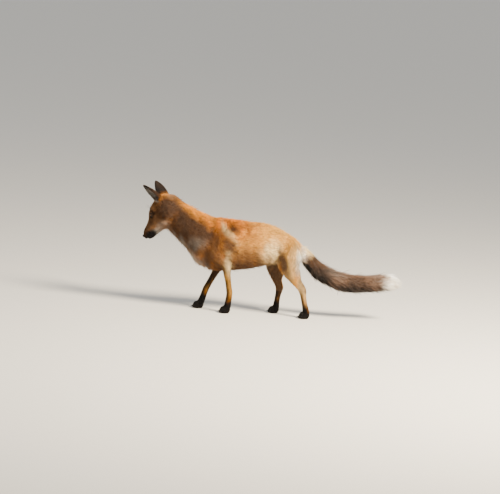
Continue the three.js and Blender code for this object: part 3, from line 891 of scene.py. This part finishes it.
def build_skin(context):
    """The hide with its lids, lips and toes, in the colours of the coat."""
    shades = colours_of(context.scene.fox_colours)
    flesh = [n for n in sorted(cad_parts) if not n.startswith("claw")]
    skin = flesh_in_one(flesh)
    mesh = skin.data
    refine(mesh)

    points = places_of(mesh)
    ends = read(mesh.edges, "vertices", 2, np.int32)
    freedom = 1 - 0.6 * share_of(coat_fields(points)[2], "ears")
    freedom *= smooth(points[:, 2], 0.0005, 0.003) * 0.5 + 0.5 * smooth(points[:, 2], 0.004, 0.04)
    points = relaxed(points, ends, SMOOTHINGS, freedom)
    set_places(mesh, points)

    # The hide lies inside the tips of the coat by its depth; the soles stay on the floor.
    normals = normals_of(mesh)
    floor = np.min(points[:, 2])
    inset = normals * (coat_fields(points)[1][:, :1] * MM)
    inset[:, 2] *= smooth(points[:, 2], floor + 0.001, floor + 0.012)
    points = points - inset
    points[:, 2] = np.maximum(points[:, 2], SOLE)
    points = shape_lids(relaxed(points, ends, 2, freedom))
    under_pad = 1 - smooth(nose_distance(in_head(points), NOSE_HALF), 0.85, 1.12)
    points = points - normals * (PAD_SEAT * MM * under_pad)[:, None]
    points = points - normals * (TOE_GROOVE * MM * toe_grooves(points))[:, None]
    points[:, 2] = np.maximum(points[:, 2], SOLE)
    set_places(mesh, points)
    points = shape_mouth(points, normals_of(mesh))
    set_places(mesh, points)

    normals = normals_of(mesh)
    lie, sizes, shares = coat_fields(points)
    colour = coat_colour(points, normals, shares, shades)
    head = in_head(points)
    on_muzzle = smooth(-head[:, 0], 96, 106) * smooth(-head[:, 2], 8, 18)
    by_nose = 1 - smooth(nose_distance(head, NOSE_HALF), 1.05, 1.3)
    by_lids = 1 - smooth(lid_distance(points), 1.5, 4)
    soles = smooth(-points[:, 2], -0.0035, -0.0015) * smooth(-normals[:, 2], 0.2, 0.6)
    for share, dark in ((on_muzzle * bell(mouth_distance(head), 2.4), "#120D0B"),
                        (np.maximum(by_nose, by_lids), "#0E0907"), (soles, "#1A1513")):
        colour += share[:, None] * (np.array(linear(dark)) - colour)
    # Painted shade: the hide darkens in the grooves between the toes.
    colour *= 1 - 0.6 * toe_grooves(points)[:, None]
    set_values(mesh, "Coat", "FLOAT_COLOR", np.c_[colour, np.ones(len(colour))])

    unwrap(skin)
    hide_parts(*[n for n in flesh if not n.startswith(("eye", "nose"))])
    remember(mesh, points, normals, lie, sizes, shares)


def unwrap(skin):
    """Unfolds the skin's own shape for the bake."""
    skin.data.uv_layers.new(name="OFBake")
    bpy.context.view_layer.objects.active = skin
    for other in bpy.context.selected_objects:
        other.select_set(False)
    skin.select_set(True)
    bpy.ops.object.mode_set(mode="EDIT")
    bpy.ops.mesh.select_all(action="SELECT")
    bpy.ops.uv.smart_project(angle_limit=math.radians(70), island_margin=0.002)
    bpy.ops.object.mode_set(mode="OBJECT")
    skin.select_set(False)


def remember(mesh, points, normals, lie, sizes, shares):
    """Keeps what the coat needs to know of the skin."""
    mesh.calc_loop_triangles()
    corners = read(mesh.loop_triangles, "vertices", 3, np.int32)
    loops = read(mesh.loop_triangles, "loops", 3, np.int32)
    spots = np.empty(len(mesh.loops) * 2, np.float32)
    mesh.uv_layers["OFBake"].uv.foreach_get("vector", spots)
    a, b, c = (points[corners[:, k]] for k in range(3))
    head = in_head(points)
    on_muzzle = (head[:, 0] < -98) & (head[:, 2] < -12)
    bare = smooth(nose_distance(head, NOSE_BARE), 0.95, 1.05)
    bare *= np.where(on_muzzle, smooth(mouth_distance(head), 1.2, 2.2), 1)
    bare *= smooth(lid_distance(points), 0.7, 1.5)
    bare *= np.where(points[:, 2] < 0.003, 0, 1) * (1 - 0.7 * toe_grooves(points))
    SKIN.update(
        points=points, normals=normals, lie=lie, sizes=sizes, shares=shares, corners=corners,
        area=lengths(np.cross(b - a, c - a)) / 2, spots=spots.reshape(-1, 2)[loops], bare=bare,
        tree=BVHTree.FromPolygons(points.tolist(), corners.tolist()),
    )


# ---------------------------------------------------------------- coat

MOST_FACES = 196000  # triangles in one mesh of locks
PATCH = 0.003  # size of a lock on the unwrap
EYE_CLEAR = 0.2  # how far locks keep from the opening between the lids (mm)
EYE_FOLDS = 9  # how far the folds of the skin round an eye reach (mm)
CUT_SHORT = 0.35  # share that is left of a lock that would cross an eye
ROOT_DEPTH = 0.4  # how deep a lock stands in the hide (mm)
ROOT_TONE, TIP_TONE = 0.76, 1.08  # of a lock, as shares of its colour
FLATNESS = 0.55  # height of a lock, as a share of its width
# Widths of a lock along its length, as shares of its greatest one.
PROFILE = ((0, 0.3, 0.6, 0.8, 1), (0.7, 1, 0.86, 0.55, 0))


def lock_shape(sides, cuts):
    """A pointed lock of hair as a closed cone of few faces, cut across so that it can bend.
    Gives how far along each corner is, its place across and above, and the triangles."""
    cone = bmesh.new()
    bmesh.ops.create_cone(cone, cap_ends=True, segments=sides, radius1=1, radius2=0, depth=1)
    bmesh.ops.remove_doubles(cone, verts=cone.verts, dist=1e-4)
    for cut in cuts:
        bmesh.ops.bisect_plane(
            cone, geom=[*cone.verts, *cone.edges, *cone.faces], dist=1e-6,
            plane_co=(0, 0, cut - 0.5), plane_no=(0, 0, 1),
        )
    bmesh.ops.triangulate(cone, faces=cone.faces)
    bmesh.ops.recalc_face_normals(cone, faces=cone.faces)
    cone.verts.index_update()
    places = np.array([v.co[:] for v in cone.verts])
    faces = np.array([[v.index for v in f.verts] for f in cone.faces])
    cone.free()
    along = places[:, 2] + 0.5
    radius = np.maximum(1 - along, 1e-6)
    across, above = (np.where(along > 0.999, 0, places[:, k] / radius) for k in (0, 1))
    return along, across, above, faces


def grown(roots, shape, name):
    """A mesh of locks. For each one roots holds its place, middle and end, the normal, lie and
    spot on the unwrap of its root, its width, curl and droop, its colour at the root (base) and
    the tip, and a chance from 0 to 1."""
    along, across, above, faces = shape
    place, middle, end, normal, base, tip = (
        roots[key][:, None] for key in ("place", "middle", "end", "normal", "base", "tip"))
    wide, curl = (roots[key][:, None, None] for key in ("width", "curl"))
    droop, chance = (roots[key][:, None] for key in ("droop", "chance"))
    beside = np.cross(roots["normal"], roots["lie"])[:, None]
    count, corners = len(place), len(along)
    t = along[None, :, None]
    wide = wide * np.interp(along, *PROFILE)[None, :, None]
    points = place * (1 - t) * (1 - 2 * t) + middle * 4 * t * (1 - t) + end * t * (2 * t - 1)
    points += beside * (curl * t * t + wide * across[None, :, None])
    points += normal * wide * FLATNESS * above[None, :, None]
    points[:, :, 2] -= droop * along**2
    points[:, :, 2] = np.maximum(points[:, :, 2], 1.5 * SOLE)

    mesh = bpy.data.meshes.new(name)
    triangles = (faces[None] + (np.arange(count) * corners)[:, None, None]).reshape(-1, 3)
    mesh.vertices.add(count * corners)
    mesh.loops.add(len(triangles) * 3)
    mesh.polygons.add(len(triangles))
    mesh.vertices.foreach_set("co", points.astype(np.float32).ravel())
    mesh.polygons.foreach_set("loop_start", np.arange(0, len(triangles) * 3, 3, dtype=np.int32))
    mesh.loops.foreach_set("vertex_index", triangles.astype(np.int32).ravel())
    mesh.update(calc_edges=True)

    def for_corners(*values):
        """Columns of one number for each corner of each lock."""
        return np.stack([np.broadcast_to(v, (count, corners)) for v in values], 2)

    fade = smooth(t, 0.0, 0.75)
    colour = base * (1 - fade) + tip * fade
    colour = np.concatenate([colour, np.ones((count, corners, 1))], 2)
    set_values(mesh, "Coat", "FLOAT_COLOR", colour)
    set_values(mesh, "Lock", "FLOAT_VECTOR",
               for_corners(across * 0.5 + chance * 90, along, chance))
    spot = roots["spot"][:, None] + for_corners(across * PATCH / 2, (along - 0.5) * PATCH)
    spot = np.clip(spot, 0.001, 0.999).reshape(-1, 2)
    layer = mesh.uv_layers.new(name="OFBake")
    layer.uv.foreach_set("vector", spot[triangles.ravel()].astype(np.float32).ravel())
    return mesh


def nearest_on_skin(places):
    """The nearest places on the skin, and its normals there."""
    found = np.empty((2, len(places), 3))
    look = SKIN["tree"].find_nearest
    for i, place in enumerate(places.tolist()):
        found[0, i], found[1, i], _, _ = look(place)
    return found


def flattened(vectors, normals):
    """Directions made square to the normals."""
    return unit(vectors - normals * (vectors * normals).sum(1)[:, None])


def laid(place, normal, lie, length, height, follow):
    """The middle and the tip of each lock, laid along the skin at its height over it. follow is
    how closely a lock keeps to the bends of the skin."""
    ends = []
    for share in (0.72, 1):
        straight = place + lie * (length * 0.5)[:, None]
        near, out = nearest_on_skin(straight)
        place = straight + follow * (near - straight)
        normal = unit(normal + follow * (out - normal))
        lie = flattened(lie, normal)
        ends.append(place + normal * (height * share)[:, None])
    return ends


def clear_of_eyes(place, middle, end):
    """Whether each lock neither crosses an eye's opening nor doubles back in the folds by it."""
    first, second = middle - place, end - middle
    doubled = (first * second).sum(1) < 0.5 * lengths(first) * lengths(second)
    doubled &= lid_distance(place) < EYE_FOLDS
    return (np.minimum(lid_distance(middle), lid_distance(end)) > EYE_CLEAR) & ~doubled


def scattered(keep, density, rng):
    """Random roots on the skin, as many as the lines ask for. keep is a share for each corner."""
    corners, spots, bare = SKIN["corners"], SKIN["spots"], SKIN["bare"]
    wanted = (SKIN["sizes"][:, 3] * bare * keep)[corners].mean(1)
    wanted = wanted * SKIN["area"] * 1e4 * density
    number = int(wanted.sum())
    ladder = np.cumsum(wanted)
    steps = (np.arange(number) + rng.random(number)) / number * ladder[-1]
    chosen = np.minimum(np.searchsorted(ladder, steps), len(ladder) - 1)
    a, b = rng.random(number), rng.random(number)
    flip = a + b > 1
    a[flip], b[flip] = 1 - a[flip], 1 - b[flip]
    share = np.stack([1 - a - b, a, b], 1)[:, :, None]
    picked = corners[chosen]
    found = {key: (SKIN[key][picked] * share).sum(1)
             for key in ("points", "normals", "lie", "sizes", "shares")}
    found["spot"] = (spots[chosen] * share).sum(1)
    ok = rng.random(number) < np.clip((bare[picked] * share[:, :, 0]).sum(1) * 1.5, 0, 1)
    return {key: value[ok] for key, value in found.items()}


def coat_pieces(context, group, material, shape, seed, follow=0.75, mottle=0.05):
    """The locks of one group of lines, as joined meshes of fewer than MOST_FACES triangles."""
    settings = context.scene.fox_coat
    rng = np.random.default_rng(seed + settings.seed)
    keep = (SKIN["shares"].argmax(1) == GROUPS.index(group)).astype(float)
    found = scattered(keep, settings.density, rng)
    place, normal = found["points"], unit(found["normals"])
    count = len(place)
    depth, length, width = (found["sizes"][:, k] * MM for k in range(3))

    # Neighbouring locks lean the same way, each a little differently.
    swirl = 0.16 * wobble(place, 34, seed + 1) + 0.15 * rng.normal(size=count)
    swirl = np.clip(swirl, -0.6, 0.6)[:, None]
    lie = flattened(found["lie"], normal)
    lie = lie * np.cos(swirl) + np.cross(normal, lie) * np.sin(swirl)

    along = np.array(GRAIN[group], dtype=float)
    drawn_out = place - 0.6 * (place @ along)[:, None] * along
    clump = wobble(drawn_out, 13, seed + 3)
    length = length * rng.uniform(0.72, 1.2, count) * settings.length
    stray = np.where(rng.random(count) < 0.05, rng.uniform(1.2, 1.9, count), 1)
    height = depth * np.clip(rng.uniform(0.55, 1.15, count) + 0.1 * clump, 0.3, 1.4) * stray
    room = (CAD_BOX[1].x + 4 * MM - place[:, 0]) / np.maximum(lie[:, 0], 0.15)
    length = np.minimum(length, np.maximum(room, 8 * MM))
    width = width * rng.uniform(0.32, 0.6, count) * settings.width
    curl = 0.1 * rng.normal(size=count) * length
    droop = np.where(length > 20 * MM, length * 0.06, 0) * rng.uniform(0.3, 1.4, count)

    # A lock has one colour, that of the skin under its middle, with its own tone and warmth.
    seen = place + lie * (length * 0.55)[:, None]
    colour = coat_colour(seen, normal, found["shares"], colours_of(context.scene.fox_colours))
    tone = np.exp(0.13 * rng.normal(size=count) + 0.06 * wobble(drawn_out, 7, seed + 2)
                  + mottle * wobble(drawn_out, 20, seed + 4))
    warmth = 0.05 * rng.normal(size=count)
    colour = colour * tone[:, None] * np.stack([1 + warmth, np.ones(count), 1 - warmth], 1)
    middle, end = laid(place, normal, lie, length, height, follow)

    # Locks that would cross an eye are cut short, or left out where that is not enough.
    over = ~clear_of_eyes(place, middle, end)
    middle[over], end[over] = laid(place[over], normal[over], lie[over],
                                   CUT_SHORT * length[over], height[over], follow)
    clear = clear_of_eyes(place, middle, end)
    roots = {
        "place": place - normal * ROOT_DEPTH * MM, "middle": middle, "end": end, "normal": normal,
        "lie": lie, "spot": found["spot"], "width": width, "curl": curl, "droop": droop,
        "base": np.clip(colour * ROOT_TONE, 0, 1), "tip": np.clip(colour * TIP_TONE, 0, 1),
        "chance": rng.random(count),
    }
    roots = {key: value[clear] for key, value in roots.items()}
    order = np.argsort(place[clear, 0], kind="stable")
    parts = math.ceil(len(order) * len(shape[3]) / MOST_FACES)
    for number, chosen in enumerate(np.array_split(order, parts), 1):
        name = f"coat_{group}_{number}"
        some = {key: value[chosen] for key, value in roots.items()}
        show(name, grown(some, shape, name), material)


# ---------------------------------------------------------------- eyes, nose, claws, whiskers


def eyeball(name, wet, eye):
    """An eyeball with a bulging cornea, which knows where its pupil looks."""
    ball = bmesh.new()
    bmesh.ops.create_uvsphere(ball, u_segments=40, v_segments=24, radius=EYE_RADIUS)
    for vertex in ball.verts:
        ahead = max(0.0, vertex.co.z / EYE_RADIUS - 0.72) / 0.28
        vertex.co *= 1 + 0.05 * ahead * (2 - ahead)
    mesh = mesh_of(name, ball)
    set_values(mesh, "Gaze", "FLOAT_VECTOR", places_of(mesh) - PUPIL)
    mesh.transform(eye)
    if eye.determinant() < 0:
        mesh.flip_normals()
    return show(name, mesh, wet)


def lid_rim(name, eye):
    """A tube along the opening between the lids: round sections, bridged one to the next."""
    rim = bmesh.new()
    steps = 40
    rings = []
    for step in range(steps):
        angle = 2 * math.pi * step / steps
        along = EYE_HALF[0] * math.cos(angle)
        up = math.copysign(float(lid_height(np.array(along))), math.sin(angle)) * 1.02
        ahead = math.sqrt(max(EYE_RADIUS**2 - along**2 - up**2, 0.5))
        out = Vector((along, up, ahead)).normalized()
        run = Vector((-math.sin(angle) * EYE_HALF[0], math.cos(angle) * EYE_HALF[1], 0))
        beside = run.cross(out).normalized()
        turn = Matrix((beside, out, beside.cross(out))).transposed().to_4x4()
        ring = bmesh.ops.create_circle(rim, segments=8, radius=0.62)["verts"]
        spot = Matrix.Translation(out * (EYE_RADIUS + 0.35))
        bmesh.ops.transform(rim, matrix=spot @ turn, verts=ring)
        rings.append(ring)
    for pair in zip(rings, rings[1:] + rings[:1]):
        edges = {e for ring in pair for v in ring for e in v.link_edges if e.other_vert(v) in ring}
        bmesh.ops.bridge_loops(rim, edges=list(edges))
    bmesh.ops.transform(rim, matrix=eye, verts=rim.verts)
    bmesh.ops.recalc_face_normals(rim, faces=rim.faces)
    return mesh_of(name, rim)


def build_eyes(context):
    """An eyeball and the bare rim of its lids on both sides."""
    wet = eye_material(tuple(context.scene.fox_colours.iris))
    bare_skin = leather_material("fox_lid_rim_bare_skin", linear("#0B0706"), 0.5)
    for word, side in SIDES:
        ball = eyeball(f"eyeball_{word}", wet, EYES[side])
        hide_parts(f"eye_{word}")
        name = f"lid_rim_{word}"
        show(name, lid_rim(name, EYES[side]), bare_skin)


def build_nose():
    """The nose pad, with two nostrils and a groove between them."""
    leather = leather_material("fox_nose_moist_leather", linear("#120E0F"), 1.1)
    made = show("nose_pad", mesh_of("nose_pad", merged_copy(["nose"])), leather)
    rounded(made, 3)
    places = in_head(places_of(made.data)) - NOSE_PLACE
    x, y, z = places.T
    out = unit(places)
    dent = 0.9 * bell(y, 0.9) * smooth(-x, 2, 5)
    for _, side in SIDES:
        hole = (places - (-6.5, side * 4.4, -1.2)) / (3.0, 1.9, 2.1)
        slit = (places - (-3.5, side * 8.6, -2.4)) / (4.0, 3.0, 1.1)
        dent += 4.4 * bell(lengths(hole), 1) + 2.2 * bell(lengths(slit), 1)
    wing = 1 + 0.14 * smooth(z, -6, 2) - 0.3 * smooth(-z, 1, 8)
    blunt = np.where(x < 0, 0.8, 1.1) * (1 - 0.12 * smooth(-z, 1, 8))
    shaped = np.stack([x * blunt, y * wing, z], 1) - out * dent[:, None] + NOSE_PLACE
    set_places(made.data, placed(HEAD, shaped * MM))
    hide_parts("nose")


def build_claws():
    """All sixteen claws, rounded from their solids."""
    names = [n for n in sorted(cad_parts) if n.startswith("claw")]
    horn = horn_material("fox_claw_dark_horn", linear("#2A231E"), 1.2)
    made = show("claws", mesh_of("claws", merged_copy(names)), horn)
    rounded(made, 2)
    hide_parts(*names)


def build_whiskers():
    """Stiff black bristles: sixteen on each side of the muzzle and three over each eye."""
    rng = np.random.default_rng(71)
    place, lie, length = [], [], []
    for _, side in SIDES:
        for row in range(4):
            for column in range(4):
                place.append(on_head(-156 + 9 * column + 2 * row, side * (15.5 + 1.4 * column),
                                     -17 - 5.5 * row))
                lie.append((0.25 + 0.1 * column, side * 1.0, 0.28 - 0.3 * row))
                length.append(26 + 9 * column)
        for k in range(3):
            place.append(on_head(-74 + 4 * k, side * (17 + 3 * k), 30 + k))
            lie.append((0.3, side * 0.6, 1.0))
            length.append(30)
    count = len(place)
    place, turn = np.array(place), np.array(HEAD.to_3x3())
    lie = unit(np.array(lie)) @ turn.T
    normal = unit(np.cross(np.cross(lie, turn @ (0.2, 0, 1)), lie))
    lie = unit(lie + 0.1 * rng.normal(size=(count, 3)))
    dark = np.tile(linear("#0D0A09"), (count, 1))
    length = (np.array(length) * MM * rng.uniform(0.85, 1.15, count))[:, None]
    roots = {"place": place, "middle": place + (lie - 0.02 * normal) * 0.5 * length,
             "end": place + (lie - 0.12 * normal) * length, "normal": normal, "lie": lie,
             "spot": rng.random((count, 2)), "width": np.full(count, 0.32 * MM),
             "curl": 0.15 * rng.normal(size=count) * length[:, 0], "droop": 0.1 * length[:, 0],
             "base": dark, "tip": dark, "chance": rng.random(count)}
    mesh = grown(roots, lock_shape(5, (0.12, 0.25, 0.4, 0.55, 0.7, 0.85)), "whiskers")
    made = show("whiskers", mesh, horn_material("fox_whisker_bristle", linear("#15110F"), 4))


# ---------------------------------------------------------------- stage

FRAME_WIDTH = 1.875  # metres seen across the fox
SENSOR = 36
DISTANCE = 12.0
ELEVATION = 8
ROLL = 4
AIM = Vector((-0.0778, -0.0142, 0.2505))


def build_stage(context):
    """A wide floor, the camera, an even sky and two soft lamps."""
    stage = context.scene.fox_stage
    board = bmesh.new()
    bmesh.ops.create_circle(board, cap_ends=True, segments=64, radius=60)
    floor = bpy.data.objects.new("floor", mesh_of("floor", board))
    floor.data.materials.append(paper_material(tuple(stage.floor_colour)))

    camera = bpy.data.objects.new("camera", bpy.data.cameras.new("camera"))
    camera.data.sensor_width = SENSOR
    camera.data.lens = SENSOR * DISTANCE / FRAME_WIDTH
    camera.data.clip_end = 200
    rise, lean = math.radians(ELEVATION), math.radians(ROLL)
    up = Vector((0, math.sin(rise), math.cos(rise)))
    back = Vector((0, -math.cos(rise), math.sin(rise)))
    right = Vector((math.cos(lean), 0, 0)) + up * math.sin(lean)
    top = up * math.cos(lean) - Vector((math.sin(lean), 0, 0))
    turn = Matrix((right, top, back)).transposed().to_4x4()
    camera.matrix_world = Matrix.Translation(AIM + back * DISTANCE) @ turn
    context.scene.camera = camera

    world = bpy.data.worlds.new("studio")
    world.use_nodes = True
    sky = world.node_tree.nodes["Background"].inputs
    sky["Color"].default_value = (*stage.sky_colour, 1)
    sky["Strength"].default_value = stage.sky_strength
    context.scene.world = world
    made = [floor, camera]
    for name, place, size, power, colour in (
        ("key", (1.9, -1.8, 2.5), 1.3, stage.key_power, "#FFF0D8"),
        ("fill", (-2.6, -2.6, 1.4), 2.6, stage.fill_power, "#F2F6FF"),
    ):
        lamp = bpy.data.lights.new(name, "AREA")
        lamp.shape = "DISK"
        lamp.size = size
        lamp.energy = power
        lamp.color = linear(colour)
        holder = bpy.data.objects.new(name, lamp)
        holder.location = place
        holder.rotation_mode = "QUATERNION"
        holder.rotation_quaternion = (AIM - Vector(place)).to_track_quat("-Z", "Y")
        made.append(holder)
    for one in made:
        context.scene.collection.objects.link(one)


# ---------------------------------------------------------------- settings


def colours_of(settings):
    """The linear colours of the coat by name."""
    return {name: tuple(getattr(settings, name)) for name in SHADES}


def colour_setting(name, about, value):
    return bpy.props.FloatVectorProperty(
        name=name, description=about, default=linear(value), size=3, subtype="COLOR", min=0, max=1)


def share_setting(name, about, low, high):
    """A factor on the usual value of something."""
    return bpy.props.FloatProperty(
        name=name, description=f"{about}, as a share of the usual one", default=1.0, min=low,
        max=high, subtype="FACTOR")


def power_setting(name, about, value):
    return bpy.props.FloatProperty(
        name=name, description=about, default=value, min=0, max=5000, unit="POWER")


class FoxColours(bpy.types.PropertyGroup):
    """Colours of the coat and the eyes"""

    iris: colour_setting("Iris", "Colour of the iris", "#74460F")


for _name, (_value, _about) in SHADES.items():
    FoxColours.__annotations__[_name] = colour_setting(_name.capitalize(), _about, _value)


class FoxCoat(bpy.types.PropertyGroup):
    """Sizes of the locks of hair"""

    density: share_setting("Density", "Number of locks", 0.05, 1.2)
    length: share_setting("Length", "Length of the locks", 0.5, 1.3)
    width: share_setting("Width", "Width of the locks", 0.3, 2.0)
    seed: bpy.props.IntProperty(
        name="Seed", description="Start of the random numbers that place the locks",
        default=3, min=0)


class FoxStage(bpy.types.PropertyGroup):
    """Floor, sky and lamps"""

    floor_colour: colour_setting("Floor", "Colour of the floor", "#DDD9D0")
    sky_colour: colour_setting("Sky", "Colour of the light from all round", "#E9EBEE")
    sky_strength: bpy.props.FloatProperty(
        name="Sky strength", description="Strength of the light from all round", default=0.85,
        min=0, max=10)
    key_power: power_setting("Key power", "Power of the lamp above the tail", 550)
    fill_power: power_setting("Fill power", "Power of the lamp beside the camera", 14)


# ---------------------------------------------------------------- operators and panel


class FOX_OT_stage(bpy.types.Operator):
    """Make the floor, the camera and the lights"""

    bl_idname = "fox.stage"
    bl_label = "Stage"

    def execute(self, context):
        build_stage(context)
        return {"FINISHED"}


class FOX_OT_skin(bpy.types.Operator):
    """Make the one skin that stands for all nodes of flesh"""

    bl_idname = "fox.skin"
    bl_label = "Skin"

    def execute(self, context):
        build_skin(context)
        return {"FINISHED"}


class FOX_OT_eyes(bpy.types.Operator):
    """Make the eyeballs and the rims of the lids"""

    bl_idname = "fox.eyes"
    bl_label = "Eyes"

    def execute(self, context):
        build_eyes(context)
        return {"FINISHED"}


class FOX_OT_nose(bpy.types.Operator):
    """Make the nose pad with its nostrils"""

    bl_idname = "fox.nose"
    bl_label = "Nose"

    def execute(self, context):
        build_nose()
        return {"FINISHED"}


class FOX_OT_claws(bpy.types.Operator):
    """Make the sixteen claws"""

    bl_idname = "fox.claws"
    bl_label = "Claws"

    def execute(self, context):
        build_claws()
        return {"FINISHED"}


class FOX_OT_whiskers(bpy.types.Operator):
    """Make the whiskers"""

    bl_idname = "fox.whiskers"
    bl_label = "Whiskers"

    def execute(self, context):
        build_whiskers()
        return {"FINISHED"}


class FOX_OT_coat(bpy.types.Operator):
    """Grow the coat over the skin, part by part"""

    bl_idname = "fox.coat"
    bl_label = "Coat"

    def execute(self, context):
        if not SKIN:
            raise RuntimeError("make the skin first")
        short = hair_material("fox_hair_short", 0.65, 0.08, 0.16)
        long = hair_material("fox_hair_long", 0.6, 0.16, 0.22)
        brush = hair_material("fox_hair_brush", 0.6, 0.16, 0.26)
        spike = lock_shape(3, (0.35,))
        thorn = lock_shape(3, ())
        bent = lock_shape(3, (0.45,))
        wavy = lock_shape(3, (0.35, 0.7))
        coat_pieces(context, "head", short, spike, 11, follow=0.9)
        coat_pieces(context, "ears", short, spike, 12)
        coat_pieces(context, "neck", long, bent, 13, mottle=0.26)
        coat_pieces(context, "trunk", long, bent, 14, mottle=0.14)
        coat_pieces(context, "haunch", long, bent, 15, mottle=0.14)
        coat_pieces(context, "legs", short, thorn, 16)
        coat_pieces(context, "tail", brush, wavy, 17, follow=0.5, mottle=0.3)
        return {"FINISHED"}


class FOX_PT_panel(bpy.types.Panel):
    """Lists the fox's pieces and settings"""

    bl_label = "Red fox"
    bl_idname = "FOX_PT_panel"
    bl_space_type = "VIEW_3D"
    bl_region_type = "UI"
    bl_category = "Fox"

    def draw(self, context):
        for maker in OPERATORS:
            self.layout.operator(maker.bl_idname)
        for owner in ("fox_colours", "fox_coat", "fox_stage"):
            settings = getattr(context.scene, owner)
            for name in settings.__annotations__:
                self.layout.prop(settings, name)


OPERATORS = (FOX_OT_stage, FOX_OT_skin, FOX_OT_eyes, FOX_OT_nose, FOX_OT_claws, FOX_OT_whiskers,
             FOX_OT_coat)
CLASSES = (FoxColours, FoxCoat, FoxStage, *OPERATORS, FOX_PT_panel)


def register():
    for one in CLASSES:
        bpy.utils.register_class(one)
    bpy.types.Scene.fox_colours = bpy.props.PointerProperty(type=FoxColours)
    bpy.types.Scene.fox_coat = bpy.props.PointerProperty(type=FoxCoat)
    bpy.types.Scene.fox_stage = bpy.props.PointerProperty(type=FoxStage)


def unregister():
    for owner in ("fox_colours", "fox_coat", "fox_stage"):
        delattr(bpy.types.Scene, owner)
    for one in reversed(CLASSES):
        bpy.utils.unregister_class(one)


def main():
    register()
    bpy.ops.fox.stage()
    bpy.ops.fox.skin()
    bpy.ops.fox.eyes()
    bpy.ops.fox.nose()
    bpy.ops.fox.claws()
    bpy.ops.fox.whiskers()
    bpy.ops.fox.coat()


if __name__ == "__main__":
    main()
